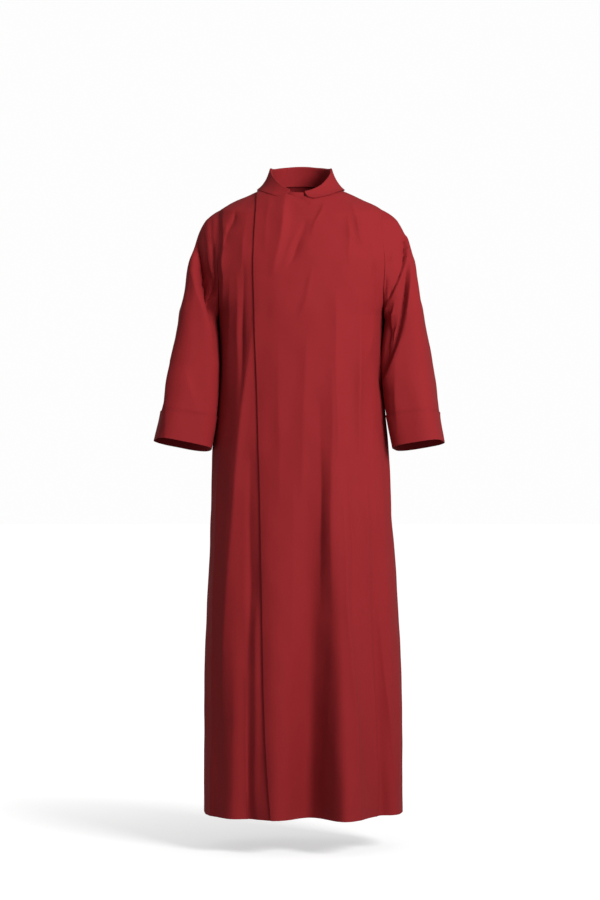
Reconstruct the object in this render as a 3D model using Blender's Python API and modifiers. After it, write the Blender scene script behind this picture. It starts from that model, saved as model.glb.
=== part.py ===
"""A cassock with a wrap-over front and a turned-down collar, open at neck, cuffs and hem.

The cloth keeps the hollow form that it has when it is worn. Each piece that is cut and sewn is one
thin-walled solid: it starts as a flat grid, a function moves the grid's points to where the cloth
lies, and a Solidify modifier gives it the thickness of the cloth.

Metres, +Z up. The front faces -Y and the wearer's left is at +X. The origin is the middle of the
base of the neck, at the height of the shoulder seams, where the wearer's shoulders carry it.
"""

from collections import namedtuple

import bmesh
import bpy
import numpy as np

# Cloth
CLOTH = 0.0016  # wall of one layer
CUFF_CLOTH = 0.0022  # the cuffs are two layers turned in
PLY = 0.0025  # from the middle of one layer to the middle of the layer laid on it
SEAM_SHIFT = 0.0003  # how far each side of a seam stands back from the seam's line

# Levels of the body's main lines, measured at the sides
NECK_LEVEL = 0.008
SHOULDER_TIP_LEVEL = -0.0425
UNDERARM_LEVEL = -0.295
HEM_LEVEL = -1.438
CHEST_LEVEL = -0.17  # the neck's dip in front and rise at the back have faded out here

# Neckline and front
FRONT_NECK_DIP = 0.028
BACK_NECK_RISE = 0.010
UNDERLAP = 0.11  # how far the right front runs on beneath the left front

# Armholes
ARMHOLE_ANGLE = np.radians(34)  # how far round the body an armhole reaches at half its height
ARMHOLE_GAP = 0.0007  # from the armhole's edge to the sleeve's, at the shoulder
UNDERARM_GAP = 0.0032  # and under the arm, where the sleeve hangs beside the body
HEAD_LEAVES, HEAD_ARRIVES = 1.05, 1.3  # how strongly the sleeve head keeps to its two directions

# Collar
STAND_BACK = 0.042  # height of the roll above the neckline, at the back and sides
STAND_FRONT = 0.011  # and at the front corners
STAND_INSET = 0.0019  # the stand is sewn just inside the neckline
STAND_FOOT = -0.001  # the stand's lower edge, against the neckline
STAND_LEAN = 0.19  # inward, for each metre of height
ROLL_RADIUS = 0.0022
FALL_LEVEL = -0.001  # level of the body that the fall's edge reaches down to
FALL_BEND = np.array([0.35, 0.35, 0.72])  # the bend of the fall, as shares of its way out and down
CORNER_RADIUS = 0.018
CORNER_DEPTH = 0.12  # the share of the fall that is left at the very corners
LEFT_CORNER_X = 0.0090
RIGHT_CORNER_X = -0.0260

# Cells of each piece's grid
NECK_ROWS, ARMHOLE_ROWS, SKIRT_ROWS = 6, 12, 12
WIDE_FRONT_COLUMNS, NARROW_FRONT_COLUMNS, OVERLAP_COLUMNS, BACK_COLUMNS = 12, 7, 10, 24
COLUMN_EASE = 1.6  # over 1, the columns next to an armhole bend most to make room for it
SLEEVE_HEAD_ROWS, SLEEVE_ROWS, CUFF_ROWS = 6, 8, 2
COLLAR_COLUMNS, STAND_ROWS, ROLL_ROWS, FALL_ROWS = 40, 2, 4, 4
BAND_COLUMNS, BAND_ROWS = 4, 1

# The body at each level: half its width (beside an armhole, where the side would be without it),
# its depth forward and back of the side seams, how square the section is (2 is an ellipse), and
# how far its middle stands to the wearer's left
Section = namedtuple("Section", "level half_width front_depth back_depth squareness middle")
BODY = (
    Section(NECK_LEVEL, 0.0770, 0.078, 0.074, 2.1, 0.0),
    Section(0.0, 0.0975, 0.083, 0.080, 2.1, 0.0),
    Section(-0.0139, 0.1280, 0.089, 0.088, 2.1, 0.0),
    Section(-0.0325, 0.1670, 0.097, 0.098, 2.15, 0.0),
    Section(SHOULDER_TIP_LEVEL, 0.1840, 0.101, 0.102, 2.2, 0.0),
    Section(-0.07, 0.1990, 0.110, 0.111, 2.25, 0.0),
    Section(-0.11, 0.2130, 0.122, 0.120, 2.3, 0.0),
    Section(CHEST_LEVEL, 0.2240, 0.133, 0.126, 2.35, 0.0),
    Section(-0.25, 0.2060, 0.138, 0.124, 2.4, 0.0),
    Section(UNDERARM_LEVEL, 0.1905, 0.140, 0.121, 2.4, 0.0),
    Section(-0.36, 0.1870, 0.141, 0.117, 2.4, 0.0),
    Section(-0.45, 0.1890, 0.143, 0.116, 2.35, 0.0),
    Section(-0.58, 0.1990, 0.148, 0.124, 2.3, 0.0),
    Section(-0.79, 0.2105, 0.155, 0.139, 2.3, 0.001),
    Section(-0.96, 0.2180, 0.160, 0.148, 2.3, 0.003),
    Section(-1.13, 0.2245, 0.163, 0.156, 2.3, 0.0045),
    Section(HEM_LEVEL, 0.2280, 0.165, 0.165, 2.3, 0.005),
)

# The free edge of the left front, from the neck down
EdgePoint = namedtuple("EdgePoint", "level x")
OVERLAP_EDGE = (
    EdgePoint(NECK_LEVEL, -0.0990),
    EdgePoint(-0.05, -0.1030),
    EdgePoint(-0.18, -0.1075),
    EdgePoint(-0.34, -0.1025),
    EdgePoint(-0.49, -0.0977),
    EdgePoint(-0.86, -0.0890),
    EdgePoint(-1.10, -0.0838),
    EdgePoint(-1.33, -0.0747),
    EdgePoint(HEM_LEVEL, -0.0667),
)

# Long folds of the skirt: where each lies across the body at its start and at the hem, half its
# width at both, how far it stands out at the hem (inward if negative) and the level it starts at
Fold = namedtuple("Fold", "start_x hem_x start_width hem_width depth start_level")
FRONT_FOLDS = (
    Fold(-0.150, -0.166, 0.022, 0.026, 0.026, -0.62),
    Fold(-0.122, -0.118, 0.016, 0.018, -0.014, -0.90),
    Fold(-0.070, -0.056, 0.036, 0.038, 0.022, -0.60),
    Fold(0.022, 0.020, 0.032, 0.044, -0.050, -0.56),
    Fold(0.078, 0.103, 0.032, 0.040, 0.050, -0.52),
    Fold(0.130, 0.176, 0.028, 0.036, -0.046, -0.60),
)
BACK_FOLDS = (
    Fold(-0.140, -0.165, 0.024, 0.030, 0.024, -0.50),
    Fold(-0.095, -0.108, 0.022, 0.030, -0.030, -0.42),
    Fold(-0.040, -0.046, 0.026, 0.034, 0.026, -0.38),
    Fold(0.012, 0.016, 0.022, 0.030, -0.034, -0.46),
    Fold(0.066, 0.078, 0.026, 0.034, 0.030, -0.40),
    Fold(0.112, 0.136, 0.022, 0.030, -0.028, -0.52),
)
FOLD_GROWTH = 1.25  # folds deepen towards the hem by this power of the way down
SIDE_FADE = 8  # folds fade out before the side seams, by this power of the way across

# Rings of each sleeve and its cuff: centre, half width and half depth, how far the outer side is
# raised (tilt), how far the front is raised (pitch) and how far the outer side comes forward (turn)
Ring = namedtuple("Ring", "across forward height half_width half_depth tilt pitch turn")
LEFT_ARM = (
    Ring(0.2372, 0.004, -0.299, 0.0440, 0.084, 0.17, 0.00, 0.00),
    Ring(0.2450, 0.014, -0.400, 0.0550, 0.076, 0.16, 0.06, 0.15),
    Ring(0.2600, 0.034, -0.510, 0.0560, 0.066, 0.14, 0.12, 0.22),
    Ring(0.2726, 0.044, -0.589, 0.0555, 0.062, 0.16, 0.14, 0.22),
)
RIGHT_ARM = (
    Ring(0.2372, 0.004, -0.299, 0.0440, 0.084, 0.17, 0.00, 0.00),
    Ring(0.2448, 0.014, -0.400, 0.0552, 0.076, 0.16, 0.06, 0.15),
    Ring(0.2590, 0.034, -0.512, 0.0610, 0.066, 0.15, 0.12, 0.22),
    Ring(0.2725, 0.044, -0.588, 0.0640, 0.062, 0.20, 0.14, 0.22),
)
CUFF_RING = 2  # the ring of the cuff's seam
SLEEVE_SQUARENESS = 2.6

# Which way a sleeve leaves the armhole at the shoulder tip, at mid height and under the arm
SHOULDER_DIRECTION = np.array([0.90, 0.0, -0.40])
MIDDLE_DIRECTION = np.array([0.75, 0.25, -0.60])
UNDERARM_DIRECTION = np.array([0.05, 0.0, -1.0])

# Long folds of a sleeve: the angle round it at the armhole and at the cuff, half its width as an
# angle, its depth, and where along the sleeve it is deepest
SleeveFold = namedtuple("SleeveFold", "head_angle cuff_angle width depth middle")
SLEEVE_FOLDS = (
    SleeveFold(0.9, 1.9, 0.30, -0.0050, 0.50),
    SleeveFold(1.8, 2.5, 0.26, 0.0040, 0.55),
    SleeveFold(4.1, 3.7, 0.30, -0.0045, 0.55),
    SleeveFold(5.2, 5.0, 0.30, 0.0040, 0.60),
)

SLEEVE_FOLD_SWELL = 0.28  # a sleeve's fold fades over this share of the sleeve, up and down

# Colour of the cloth, and how rough it looks
RED = (0.27, 0.020, 0.026)
ROUGHNESS = 0.82


def column(table, name):
    return np.array([getattr(row, name) for row in table])


def smooth_through(places, values, at):
    """A curve through the values at increasing places, which never overshoots between two of them."""
    step = np.diff(places)
    slope = np.diff(values) / step
    before, after = slope[:-1], slope[1:]
    same_way = before * after > 0
    total = np.where(same_way, before + after, 1.0)
    inner = np.where(same_way, 2 * before * after / total, 0.0)
    tangent = np.concatenate([slope[:1], inner, slope[-1:]])
    at = np.clip(at, places[0], places[-1])
    cell = np.clip(np.searchsorted(places, at, side="right") - 1, 0, len(step) - 1)
    t = (at - places[cell]) / step[cell]
    start = values[cell] * (1 + 2 * t) + tangent[cell] * step[cell] * t
    end = values[cell + 1] * (3 - 2 * t) - tangent[cell + 1] * step[cell] * (1 - t)
    return start * (1 - t) ** 2 + end * t**2


def body_value(name, level):
    return smooth_through(-column(BODY, "level"), column(BODY, name), -level)


def smoothstep(t):
    t = np.clip(t, 0.0, 1.0)
    return t * t * (3 - 2 * t)


def armhole_angle(level):
    """How far round from the side seam the armhole's edge lies, zero above and below the armhole."""
    middle = (SHOULDER_TIP_LEVEL + UNDERARM_LEVEL) / 2
    half = (SHOULDER_TIP_LEVEL - UNDERARM_LEVEL) / 2
    return ARMHOLE_ANGLE * np.sqrt(np.clip(1 - ((level - middle) / half) ** 2, 0.0, 1.0))


def fold_depth(folds, x, level):
    """How far the folds push the cloth out at this x and level."""
    total = np.zeros(np.broadcast(x, level).shape)
    for fold in folds:
        way_down = np.clip((level - fold.start_level) / (HEM_LEVEL - fold.start_level), 0.0, 1.0)
        middle = fold.start_x + (fold.hem_x - fold.start_x) * way_down
        width = fold.start_width + (fold.hem_width - fold.start_width) * way_down
        total += fold.depth * way_down**FOLD_GROWTH * np.exp(-(((x - middle) / width) ** 2))
    return total


def body_point(angle, level):
    """A point of the body's form: angle 0 is the left side, a quarter turn is the front."""
    power = 2 / body_value("squareness", level)
    cosine, sine = np.cos(angle), np.sin(angle)
    across = np.sign(cosine) * np.abs(cosine) ** power
    x = body_value("middle", level) + body_value("half_width", level) * across
    side_fade = 1 - np.abs(across) ** SIDE_FADE
    front = sine > 0
    reach = np.abs(sine) ** power
    forward = body_value("front_depth", level) * reach
    forward = forward + side_fade * fold_depth(FRONT_FOLDS, x, level)
    backward = body_value("back_depth", level) * reach
    backward = backward + side_fade * fold_depth(BACK_FOLDS, x, level)
    fade = np.clip((level - CHEST_LEVEL) / (NECK_LEVEL - CHEST_LEVEL), 0.0, 1.0)
    tilt = np.where(front, -FRONT_NECK_DIP, BACK_NECK_RISE) * fade * sine**2
    return np.stack([x, np.where(front, -forward, backward), level + tilt], axis=-1)


def unit(vectors):
    return vectors / np.linalg.norm(vectors, axis=-1, keepdims=True)


def body_normal(angle, level):
    """The outward direction of the body's form, from points a little to each side."""
    step = 1e-4
    round_it = body_point(angle + step, level) - body_point(angle - step, level)
    lower = np.clip(level - step, HEM_LEVEL, None)
    upper = np.clip(level + step, None, NECK_LEVEL)
    up_it = body_point(angle, upper) - body_point(angle, lower)
    return unit(np.cross(up_it, round_it))


def front_angle(x, level):
    """The angle at which the front of the body passes x, or the side seam's where x is past it."""
    share = (x - body_value("middle", level)) / body_value("half_width", level)
    power = body_value("squareness", level) / 2
    return np.arccos(np.clip(np.sign(share) * np.abs(share) ** power, -1.0, 1.0))


def overlap_x(level):
    return smooth_through(-column(OVERLAP_EDGE, "level"), column(OVERLAP_EDGE, "x"), -level)


def body_levels():
    """Levels of the rows of a body piece: closest where the neckline and armholes curve most."""
    neck = np.linspace(0, 1, NECK_ROWS + 1)[:-1] ** 1.2
    neck = NECK_LEVEL + (SHOULDER_TIP_LEVEL - NECK_LEVEL) * neck
    turn = np.linspace(0, np.pi, ARMHOLE_ROWS + 1)[:-1]
    drop = (SHOULDER_TIP_LEVEL - UNDERARM_LEVEL) / 2
    armhole = SHOULDER_TIP_LEVEL - drop * (1 - np.cos(turn))
    skirt = np.linspace(UNDERARM_LEVEL, HEM_LEVEL, SKIRT_ROWS + 1)
    return np.concatenate([neck, armhole, skirt])


def row_level(down):
    levels = body_levels()
    return np.interp(down, np.linspace(0, 1, len(levels)), levels)


def between(first, last, share):
    return first + (last - first) * np.clip(share, 0.0, 1.0)


def past_armhole(level, share):
    """What a grid's columns add to their angle to make room for the armhole, less away from it."""
    return armhole_angle(level) * np.clip(1 - share, 0.0, 1.0) ** COLUMN_EASE


def place_front_left(across, down):
    """The wide front, from the left side seam over the middle to its free edge on the right."""
    level = row_level(down)
    inner = front_angle(overlap_x(level) + UNDERLAP, level)
    edge = front_angle(overlap_x(level), level)
    cells = WIDE_FRONT_COLUMNS + OVERLAP_COLUMNS
    wide_share = across * cells / WIDE_FRONT_COLUMNS
    angle = between(0.0, inner, wide_share) + past_armhole(level, wide_share)
    angle += between(0.0, edge - inner, (across * cells - WIDE_FRONT_COLUMNS) / OVERLAP_COLUMNS)
    lift = PLY * smoothstep(wide_share)
    points = body_point(angle, level) + lift[:, None] * body_normal(angle, level)
    return points - np.array([0.0, SEAM_SHIFT, 0.0])


def place_front_right(across, down):
    """The narrow front, from its edge beneath the left front to the right side seam."""
    level = row_level(down)
    inner = front_angle(overlap_x(level) + UNDERLAP, level)
    edge = front_angle(overlap_x(level), level)
    side = np.pi - armhole_angle(level)
    cells = NARROW_FRONT_COLUMNS + OVERLAP_COLUMNS
    angle = between(inner, edge, across * cells / OVERLAP_COLUMNS)
    angle += between(0.0, side - edge, (across * cells - OVERLAP_COLUMNS) / NARROW_FRONT_COLUMNS)
    return body_point(angle, level) - np.array([0.0, SEAM_SHIFT, 0.0])


def place_back(across, down):
    """The back, from the right side seam round to the left."""
    level = row_level(down)
    angle = np.pi * (1 + across)
    angle += past_armhole(level, 2 * across) - past_armhole(level, 2 - 2 * across)
    return body_point(angle, level) + np.array([0.0, SEAM_SHIFT, 0.0])


def armhole_point(turn):
    """A point of the left armhole: turn 0 is the shoulder tip and a quarter turn is the front."""
    drop = (SHOULDER_TIP_LEVEL - UNDERARM_LEVEL) / 2
    level = SHOULDER_TIP_LEVEL - drop * (1 - np.cos(turn))
    angle = np.where(np.sin(turn) >= 0, 1, -1) * armhole_angle(level)
    return body_point(angle, level)


def ring_point(arm, turn, along):
    """A point of a sleeve's ring and the outward direction there; `along` counts the arm's rings."""
    steps = np.arange(len(arm), dtype=float)
    ring = {name: smooth_through(steps, column(arm, name), along) for name in Ring._fields}
    power = 2 / SLEEVE_SQUARENESS
    outward = np.sign(np.cos(turn)) * np.abs(np.cos(turn)) ** power
    forward = np.sign(np.sin(turn)) * np.abs(np.sin(turn)) ** power
    wide, deep = ring["half_width"] * outward, ring["half_depth"] * forward
    cosine, sine = np.cos(ring["turn"]), np.sin(ring["turn"])
    wide, deep = wide * cosine - deep * sine, deep * cosine + wide * sine
    x = ring["across"] + wide * np.cos(ring["tilt"])
    y = -ring["forward"] - deep * np.cos(ring["pitch"])
    z = ring["height"] + wide * np.sin(ring["tilt"]) + deep * np.sin(ring["pitch"])
    direction = np.stack([wide, -deep, np.zeros_like(wide)], axis=-1)
    return np.stack([x, y, z], axis=-1), unit(direction)


def leaving_direction(turn):
    """Which way the sleeve leaves the armhole."""
    top = np.clip(np.cos(turn), 0.0, 1.0)[:, None] ** 2
    bottom = np.clip(-np.cos(turn), 0.0, 1.0)[:, None] ** 0.5
    middle = MIDDLE_DIRECTION * np.stack([np.ones_like(turn), np.sin(turn), np.ones_like(turn)], -1)
    direction = middle + top * (SHOULDER_DIRECTION - middle)
    return unit(direction + bottom * (UNDERARM_DIRECTION - direction))


def sleeve_fold_depth(turn, share):
    """How far a sleeve's folds push its cloth out at this share of the way from armhole to cuff."""
    total = np.zeros_like(turn)
    for fold in SLEEVE_FOLDS:
        middle = fold.head_angle + (fold.cuff_angle - fold.head_angle) * share
        swell = np.exp(-(((share - fold.middle) / SLEEVE_FOLD_SWELL) ** 2))
        total += fold.depth * swell * np.exp(-(((turn - middle) / fold.width) ** 2))
    return total


def sleeve_head(arm, turn, share):
    """From the armhole to the sleeve's first ring: a curve that leaves and arrives along the cloth."""
    start = armhole_point(turn)
    low = (1 - np.cos(turn)) / 2
    gap = ARMHOLE_GAP + (UNDERARM_GAP - ARMHOLE_GAP) * low
    start = start + np.stack([gap, 0 * gap, 0 * gap], axis=-1)
    end, _ = ring_point(arm, turn, np.zeros_like(turn))
    beyond, _ = ring_point(arm, turn, np.full_like(turn, 0.1))
    length = np.linalg.norm(end - start, axis=-1, keepdims=True)
    leaves = leaving_direction(turn) * length * HEAD_LEAVES
    arrives = unit(beyond - end) * length * HEAD_ARRIVES
    t = share[:, None]
    first = start * (1 + 2 * t) + leaves * t
    last = end * (3 - 2 * t) - arrives * (1 - t)
    return first * (1 - t) ** 2 + last * t**2


def place_sleeve(arm, side):
    """A sleeve: its head fans out from the armhole, then it is a tube down to the cuff's seam."""

    def place(across, down):
        turn = 2 * np.pi * across
        row = down * (SLEEVE_HEAD_ROWS + SLEEVE_ROWS)
        head = sleeve_head(arm, turn, np.clip(row / SLEEVE_HEAD_ROWS, 0.0, 1.0))
        along = np.clip((row - SLEEVE_HEAD_ROWS) / SLEEVE_ROWS, 0.0, 1.0) * CUFF_RING
        tube, direction = ring_point(arm, turn, along)
        points = np.where((row < SLEEVE_HEAD_ROWS)[:, None], head, tube)
        points = points + sleeve_fold_depth(turn, down)[:, None] * direction
        return points * np.array([side, 1.0, 1.0])

    return place


def place_cuff(arm, side):
    """A cuff: a deep band that stands a little proud of the sleeve that it is sewn to."""
    gap = 2 * SEAM_SHIFT / (arm[CUFF_RING].height - arm[-1].height)
    proud = (CUFF_CLOTH - CLOTH) / 2 + SEAM_SHIFT

    def place(across, down):
        along = between(CUFF_RING + gap, len(arm) - 1, down)
        points, direction = ring_point(arm, 2 * np.pi * across, along)
        return (points + proud * direction) * np.array([side, 1.0, 1.0])

    return place


def stand_height(angle):
    forward = np.clip(np.sin(angle), 0.0, 1.0)
    return STAND_BACK + (STAND_FRONT - STAND_BACK) * forward**1.2


def neck_frame(angle):
    """The neckline's point at an angle, and the level direction straight out from it."""
    level = np.full_like(angle, NECK_LEVEL)
    outward = body_normal(angle, level) * np.array([1.0, 1.0, 0.0])
    return body_point(angle, level), unit(outward)


def stand_point(angle, height):
    """A point of the stand, which leans inward as it rises."""
    base, outward = neck_frame(angle)
    inset = (STAND_INSET + STAND_LEAN * np.clip(height, 0.0, None))[:, None]
    return base - inset * outward + height[:, None] * np.array([0.0, 0.0, 1.0])


def corner_fullness(angle, start, end):
    """How much of the fall there is: all of it, but for the rounded corners at both ends."""
    neck_radius = BODY[0].half_width
    to_end = neck_radius * np.minimum(angle - start, end - angle)
    short = np.clip(1 - to_end / CORNER_RADIUS, 0.0, 1.0)
    return CORNER_DEPTH + (1 - CORNER_DEPTH) * np.sqrt(1 - short**2)


def place_collar(across, down):
    """The collar: up the stand, over the roll and down the fall, from corner to corner."""
    level = np.array([NECK_LEVEL])
    end = front_angle(np.array([LEFT_CORNER_X]), level)[0]
    start = front_angle(np.array([RIGHT_CORNER_X]), level)[0] - 2 * np.pi
    angle = start + (end - start) * across
    row = down * (STAND_ROWS + ROLL_ROWS + FALL_ROWS)
    rise = stand_height(angle)
    up = np.clip(row / STAND_ROWS, 0.0, 1.0)
    stand = stand_point(angle, STAND_FOOT + (rise - STAND_FOOT) * up)
    _, outward = neck_frame(angle)
    turn = np.pi * np.clip((row - STAND_ROWS) / ROLL_ROWS, 0.0, 1.0)[:, None]
    top = np.array([0.0, 0.0, 1.0])
    over = stand + ROLL_RADIUS * ((1 - np.cos(turn)) * outward + np.sin(turn) * top)
    roll_end = stand_point(angle, rise) + 2 * ROLL_RADIUS * outward
    fall_level = np.full_like(angle, FALL_LEVEL)
    lift = (2 * PLY + CLOTH / 2) * body_normal(angle, fall_level)
    edge = body_point(angle, fall_level) + lift
    edge = roll_end + (edge - roll_end) * corner_fullness(angle, start, end)[:, None]
    bend = roll_end + (edge - roll_end) * FALL_BEND
    t = np.clip((row - STAND_ROWS - ROLL_ROWS) / FALL_ROWS, 0.0, 1.0)[:, None]
    fall = roll_end * (1 - t) ** 2 + 2 * bend * t * (1 - t) + edge * t**2
    return np.where((row > STAND_ROWS + ROLL_ROWS)[:, None], fall, over)


def place_neck_band(across, down):
    """The front of the stand, which shows between the collar's corners."""
    level = np.array([NECK_LEVEL])
    gap = 2 * SEAM_SHIFT / BODY[0].half_width
    start = front_angle(np.array([LEFT_CORNER_X]), level)[0] + gap
    end = front_angle(np.array([RIGHT_CORNER_X]), level)[0] - gap
    angle = between(start, end, across)
    return stand_point(angle, between(STAND_FRONT, STAND_FOOT, down))


def cloth_material(name):
    material = bpy.data.materials.new(name)
    material.use_nodes = True
    surface = material.node_tree.nodes["Principled BSDF"]
    surface.inputs["Base Color"].default_value = (*RED, 1.0)
    surface.inputs["Roughness"].default_value = ROUGHNESS
    surface.inputs["Metallic"].default_value = 0.0
    return material


def cloth_piece(collection, name, columns, rows, place, thickness=CLOTH):
    """A grid of cells moved to where the cloth lies, closed where its sides meet, and thickened."""
    mesh = bpy.data.meshes.new(name)
    grid = bmesh.new()
    bmesh.ops.create_grid(grid, x_segments=columns, y_segments=rows, size=0.5)
    flat = np.array([vert.co for vert in grid.verts])
    points = place(flat[:, 0] + 0.5, 0.5 - flat[:, 1])
    for vert, point in zip(grid.verts, points):
        vert.co = point
    bmesh.ops.remove_doubles(grid, verts=grid.verts, dist=1e-6)
    bmesh.ops.triangulate(grid, faces=grid.faces, quad_method="FIXED")
    grid.to_mesh(mesh)
    grid.free()
    mesh.shade_smooth()
    piece = bpy.data.objects.new(name, mesh)
    piece.data.materials.append(cloth_material(name))
    collection.objects.link(piece)
    wall = piece.modifiers.new("cloth thickness", "SOLIDIFY")
    wall.thickness = thickness
    wall.offset = 0.0
    return piece


def clear_scene():
    for thing in list(bpy.data.objects):
        bpy.data.objects.remove(thing, do_unlink=True)


def build_cassock():
    clear_scene()
    cassock = bpy.data.collections.new("cassock")
    bpy.context.scene.collection.children.link(cassock)
    rows = NECK_ROWS + ARMHOLE_ROWS + SKIRT_ROWS
    wide = WIDE_FRONT_COLUMNS + OVERLAP_COLUMNS
    narrow = NARROW_FRONT_COLUMNS + OVERLAP_COLUMNS
    cloth_piece(cassock, "front_left", wide, rows, place_front_left)
    cloth_piece(cassock, "front_right", narrow, rows, place_front_right)
    cloth_piece(cassock, "back", BACK_COLUMNS, rows, place_back)
    around = 2 * ARMHOLE_ROWS
    for name, arm, side in (("left", LEFT_ARM, 1.0), ("right", RIGHT_ARM, -1.0)):
        length = SLEEVE_HEAD_ROWS + SLEEVE_ROWS
        cloth_piece(cassock, "sleeve_" + name, around, length, place_sleeve(arm, side))
        cuff = place_cuff(arm, side)
        cloth_piece(cassock, "cuff_" + name, around, CUFF_ROWS, cuff, CUFF_CLOTH)
    depth = STAND_ROWS + ROLL_ROWS + FALL_ROWS
    cloth_piece(cassock, "collar", COLLAR_COLUMNS, depth, place_collar)
    cloth_piece(cassock, "neck_band", BAND_COLUMNS, BAND_ROWS, place_neck_band)


build_cassock()
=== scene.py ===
"""A red cassock in its worn form: cloth with its creases and stitching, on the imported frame.

The forms of the pieces are the frame's own, worked out again from the same sizes on finer grids.
Metres, +Z up. The front faces -Y and the wearer's left is at +X.
"""

from collections import namedtuple

import bmesh
import bpy
import numpy as np
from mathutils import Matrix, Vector


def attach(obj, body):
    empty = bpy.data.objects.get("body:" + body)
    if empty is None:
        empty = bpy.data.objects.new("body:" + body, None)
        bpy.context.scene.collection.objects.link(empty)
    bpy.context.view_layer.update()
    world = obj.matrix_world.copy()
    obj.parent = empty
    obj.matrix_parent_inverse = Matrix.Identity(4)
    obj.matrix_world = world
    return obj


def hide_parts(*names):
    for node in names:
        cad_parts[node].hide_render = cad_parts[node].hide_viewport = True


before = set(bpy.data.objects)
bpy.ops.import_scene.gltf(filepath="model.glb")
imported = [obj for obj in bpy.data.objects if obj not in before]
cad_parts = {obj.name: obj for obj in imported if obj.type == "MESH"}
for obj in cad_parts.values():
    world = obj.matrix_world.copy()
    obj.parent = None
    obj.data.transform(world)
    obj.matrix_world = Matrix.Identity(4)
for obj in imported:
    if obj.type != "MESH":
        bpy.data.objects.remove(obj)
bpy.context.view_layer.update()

# ---------------------------------------------------------------- sizes of the garment

CLOTH = 0.0011  # wall of one layer
CUFF_CLOTH = 0.0020
COLLAR_CLOTH = 0.0016
PLY = 0.0025  # from the middle of one layer to the middle of the layer laid on it
EDGE_LIFT = 0.0016  # the left front's free edge stands this much further off
EDGE_LIFT_WIDTH = 0.035
SEAM_SHIFT = 0.0003
TURNED_IN = 0.017  # the angle by which the back's edges reach in behind the fronts' at a seam
TURNED_IN_DEPTH = 0.0014
TURNED_IN_FADE = 0.05
TUCK = 0.0010  # how far a sleeve's head runs in beneath the armhole's edge

NECK_LEVEL = 0.008
SHOULDER_TIP_LEVEL = -0.0425
UNDERARM_LEVEL = -0.295
HEM_LEVEL = -1.438
CHEST_LEVEL = -0.17
FRONT_NECK_DIP = 0.028
BACK_NECK_RISE = 0.010
UNDERLAP = 0.11

ARMHOLE_ANGLE = np.radians(34)
UNDERARM_GAP = 0.0025
HEAD_LEAVES, HEAD_ARRIVES = 1.05, 1.3
RING_STEP = 0.1  # a short way down the arm, which shows where it is heading

STAND_BACK = 0.042
STAND_FRONT = 0.011
STAND_INSET = 0.0019
STAND_FOOT = -0.001
STAND_LEAN = 0.19
STAND_EASE = 1.2  # over 1, the stand keeps its height further round to the front
ROLL_RADIUS = 0.0022
SIDE_PLIES = 1.3  # how many plies the collar's fall clears at the sides and back
FALL_LEVEL = -0.001
FALL_BEND = np.array([0.35, 0.35, 0.72])
CORNER_RADIUS = 0.018
CORNER_DEPTH = 0.12
LEFT_CORNER_X = 0.0090
RIGHT_CORNER_X = -0.0260

# Cells of each piece's grid, fine enough for its creases
NECK_ROWS, ARMHOLE_ROWS, SKIRT_ROWS = 18, 62, 165
WIDE_FRONT_COLUMNS, NARROW_FRONT_COLUMNS, OVERLAP_COLUMNS, BACK_COLUMNS = 152, 66, 40, 192
COLUMN_EASE = 1.6
NECK_ROW_EASE = 1.2
SLEEVE_COLUMNS, SLEEVE_HEAD_ROWS, SLEEVE_ROWS, CUFF_ROWS = 252, 50, 62, 20
COLLAR_COLUMNS, STAND_ROWS, ROLL_ROWS, FALL_ROWS = 200, 10, 12, 24
BAND_COLUMNS, BAND_ROWS = 24, 8

Section = namedtuple("Section", "level half_width front_depth back_depth squareness middle")
BODY = (
    Section(NECK_LEVEL, 0.0770, 0.078, 0.074, 2.1, 0.0),
    Section(0.0, 0.0975, 0.083, 0.080, 2.1, 0.0),
    Section(-0.0139, 0.1280, 0.089, 0.088, 2.1, 0.0),
    Section(-0.0325, 0.1670, 0.097, 0.098, 2.15, 0.0),
    Section(SHOULDER_TIP_LEVEL, 0.1840, 0.101, 0.102, 2.2, 0.0),
    Section(-0.0460, 0.1885, 0.102, 0.103, 2.2, 0.0),
    Section(-0.07, 0.1990, 0.110, 0.111, 2.25, 0.0),
    Section(-0.11, 0.2130, 0.122, 0.120, 2.3, 0.0),
    Section(CHEST_LEVEL, 0.2240, 0.133, 0.126, 2.35, 0.0),
    Section(-0.25, 0.2060, 0.138, 0.124, 2.4, 0.0),
    Section(UNDERARM_LEVEL, 0.1905, 0.140, 0.121, 2.4, 0.0),
    Section(-0.36, 0.1870, 0.141, 0.117, 2.4, 0.0),
    Section(-0.45, 0.1890, 0.143, 0.116, 2.35, 0.0),
    Section(-0.58, 0.1990, 0.148, 0.124, 2.3, 0.0),
    Section(-0.79, 0.2105, 0.155, 0.139, 2.3, 0.001),
    Section(-0.96, 0.2180, 0.160, 0.148, 2.3, 0.003),
    Section(-1.13, 0.2245, 0.163, 0.156, 2.3, 0.0045),
    Section(HEM_LEVEL, 0.2280, 0.165, 0.165, 2.3, 0.005),
)

EdgePoint = namedtuple("EdgePoint", "level x")
OVERLAP_EDGE = (
    EdgePoint(NECK_LEVEL, -0.0990),
    EdgePoint(-0.05, -0.1030),
    EdgePoint(-0.18, -0.1075),
    EdgePoint(-0.34, -0.1025),
    EdgePoint(-0.49, -0.0977),
    EdgePoint(-0.86, -0.0890),
    EdgePoint(-1.10, -0.0838),
    EdgePoint(-1.33, -0.0747),
    EdgePoint(HEM_LEVEL, -0.0667),
)

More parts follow.
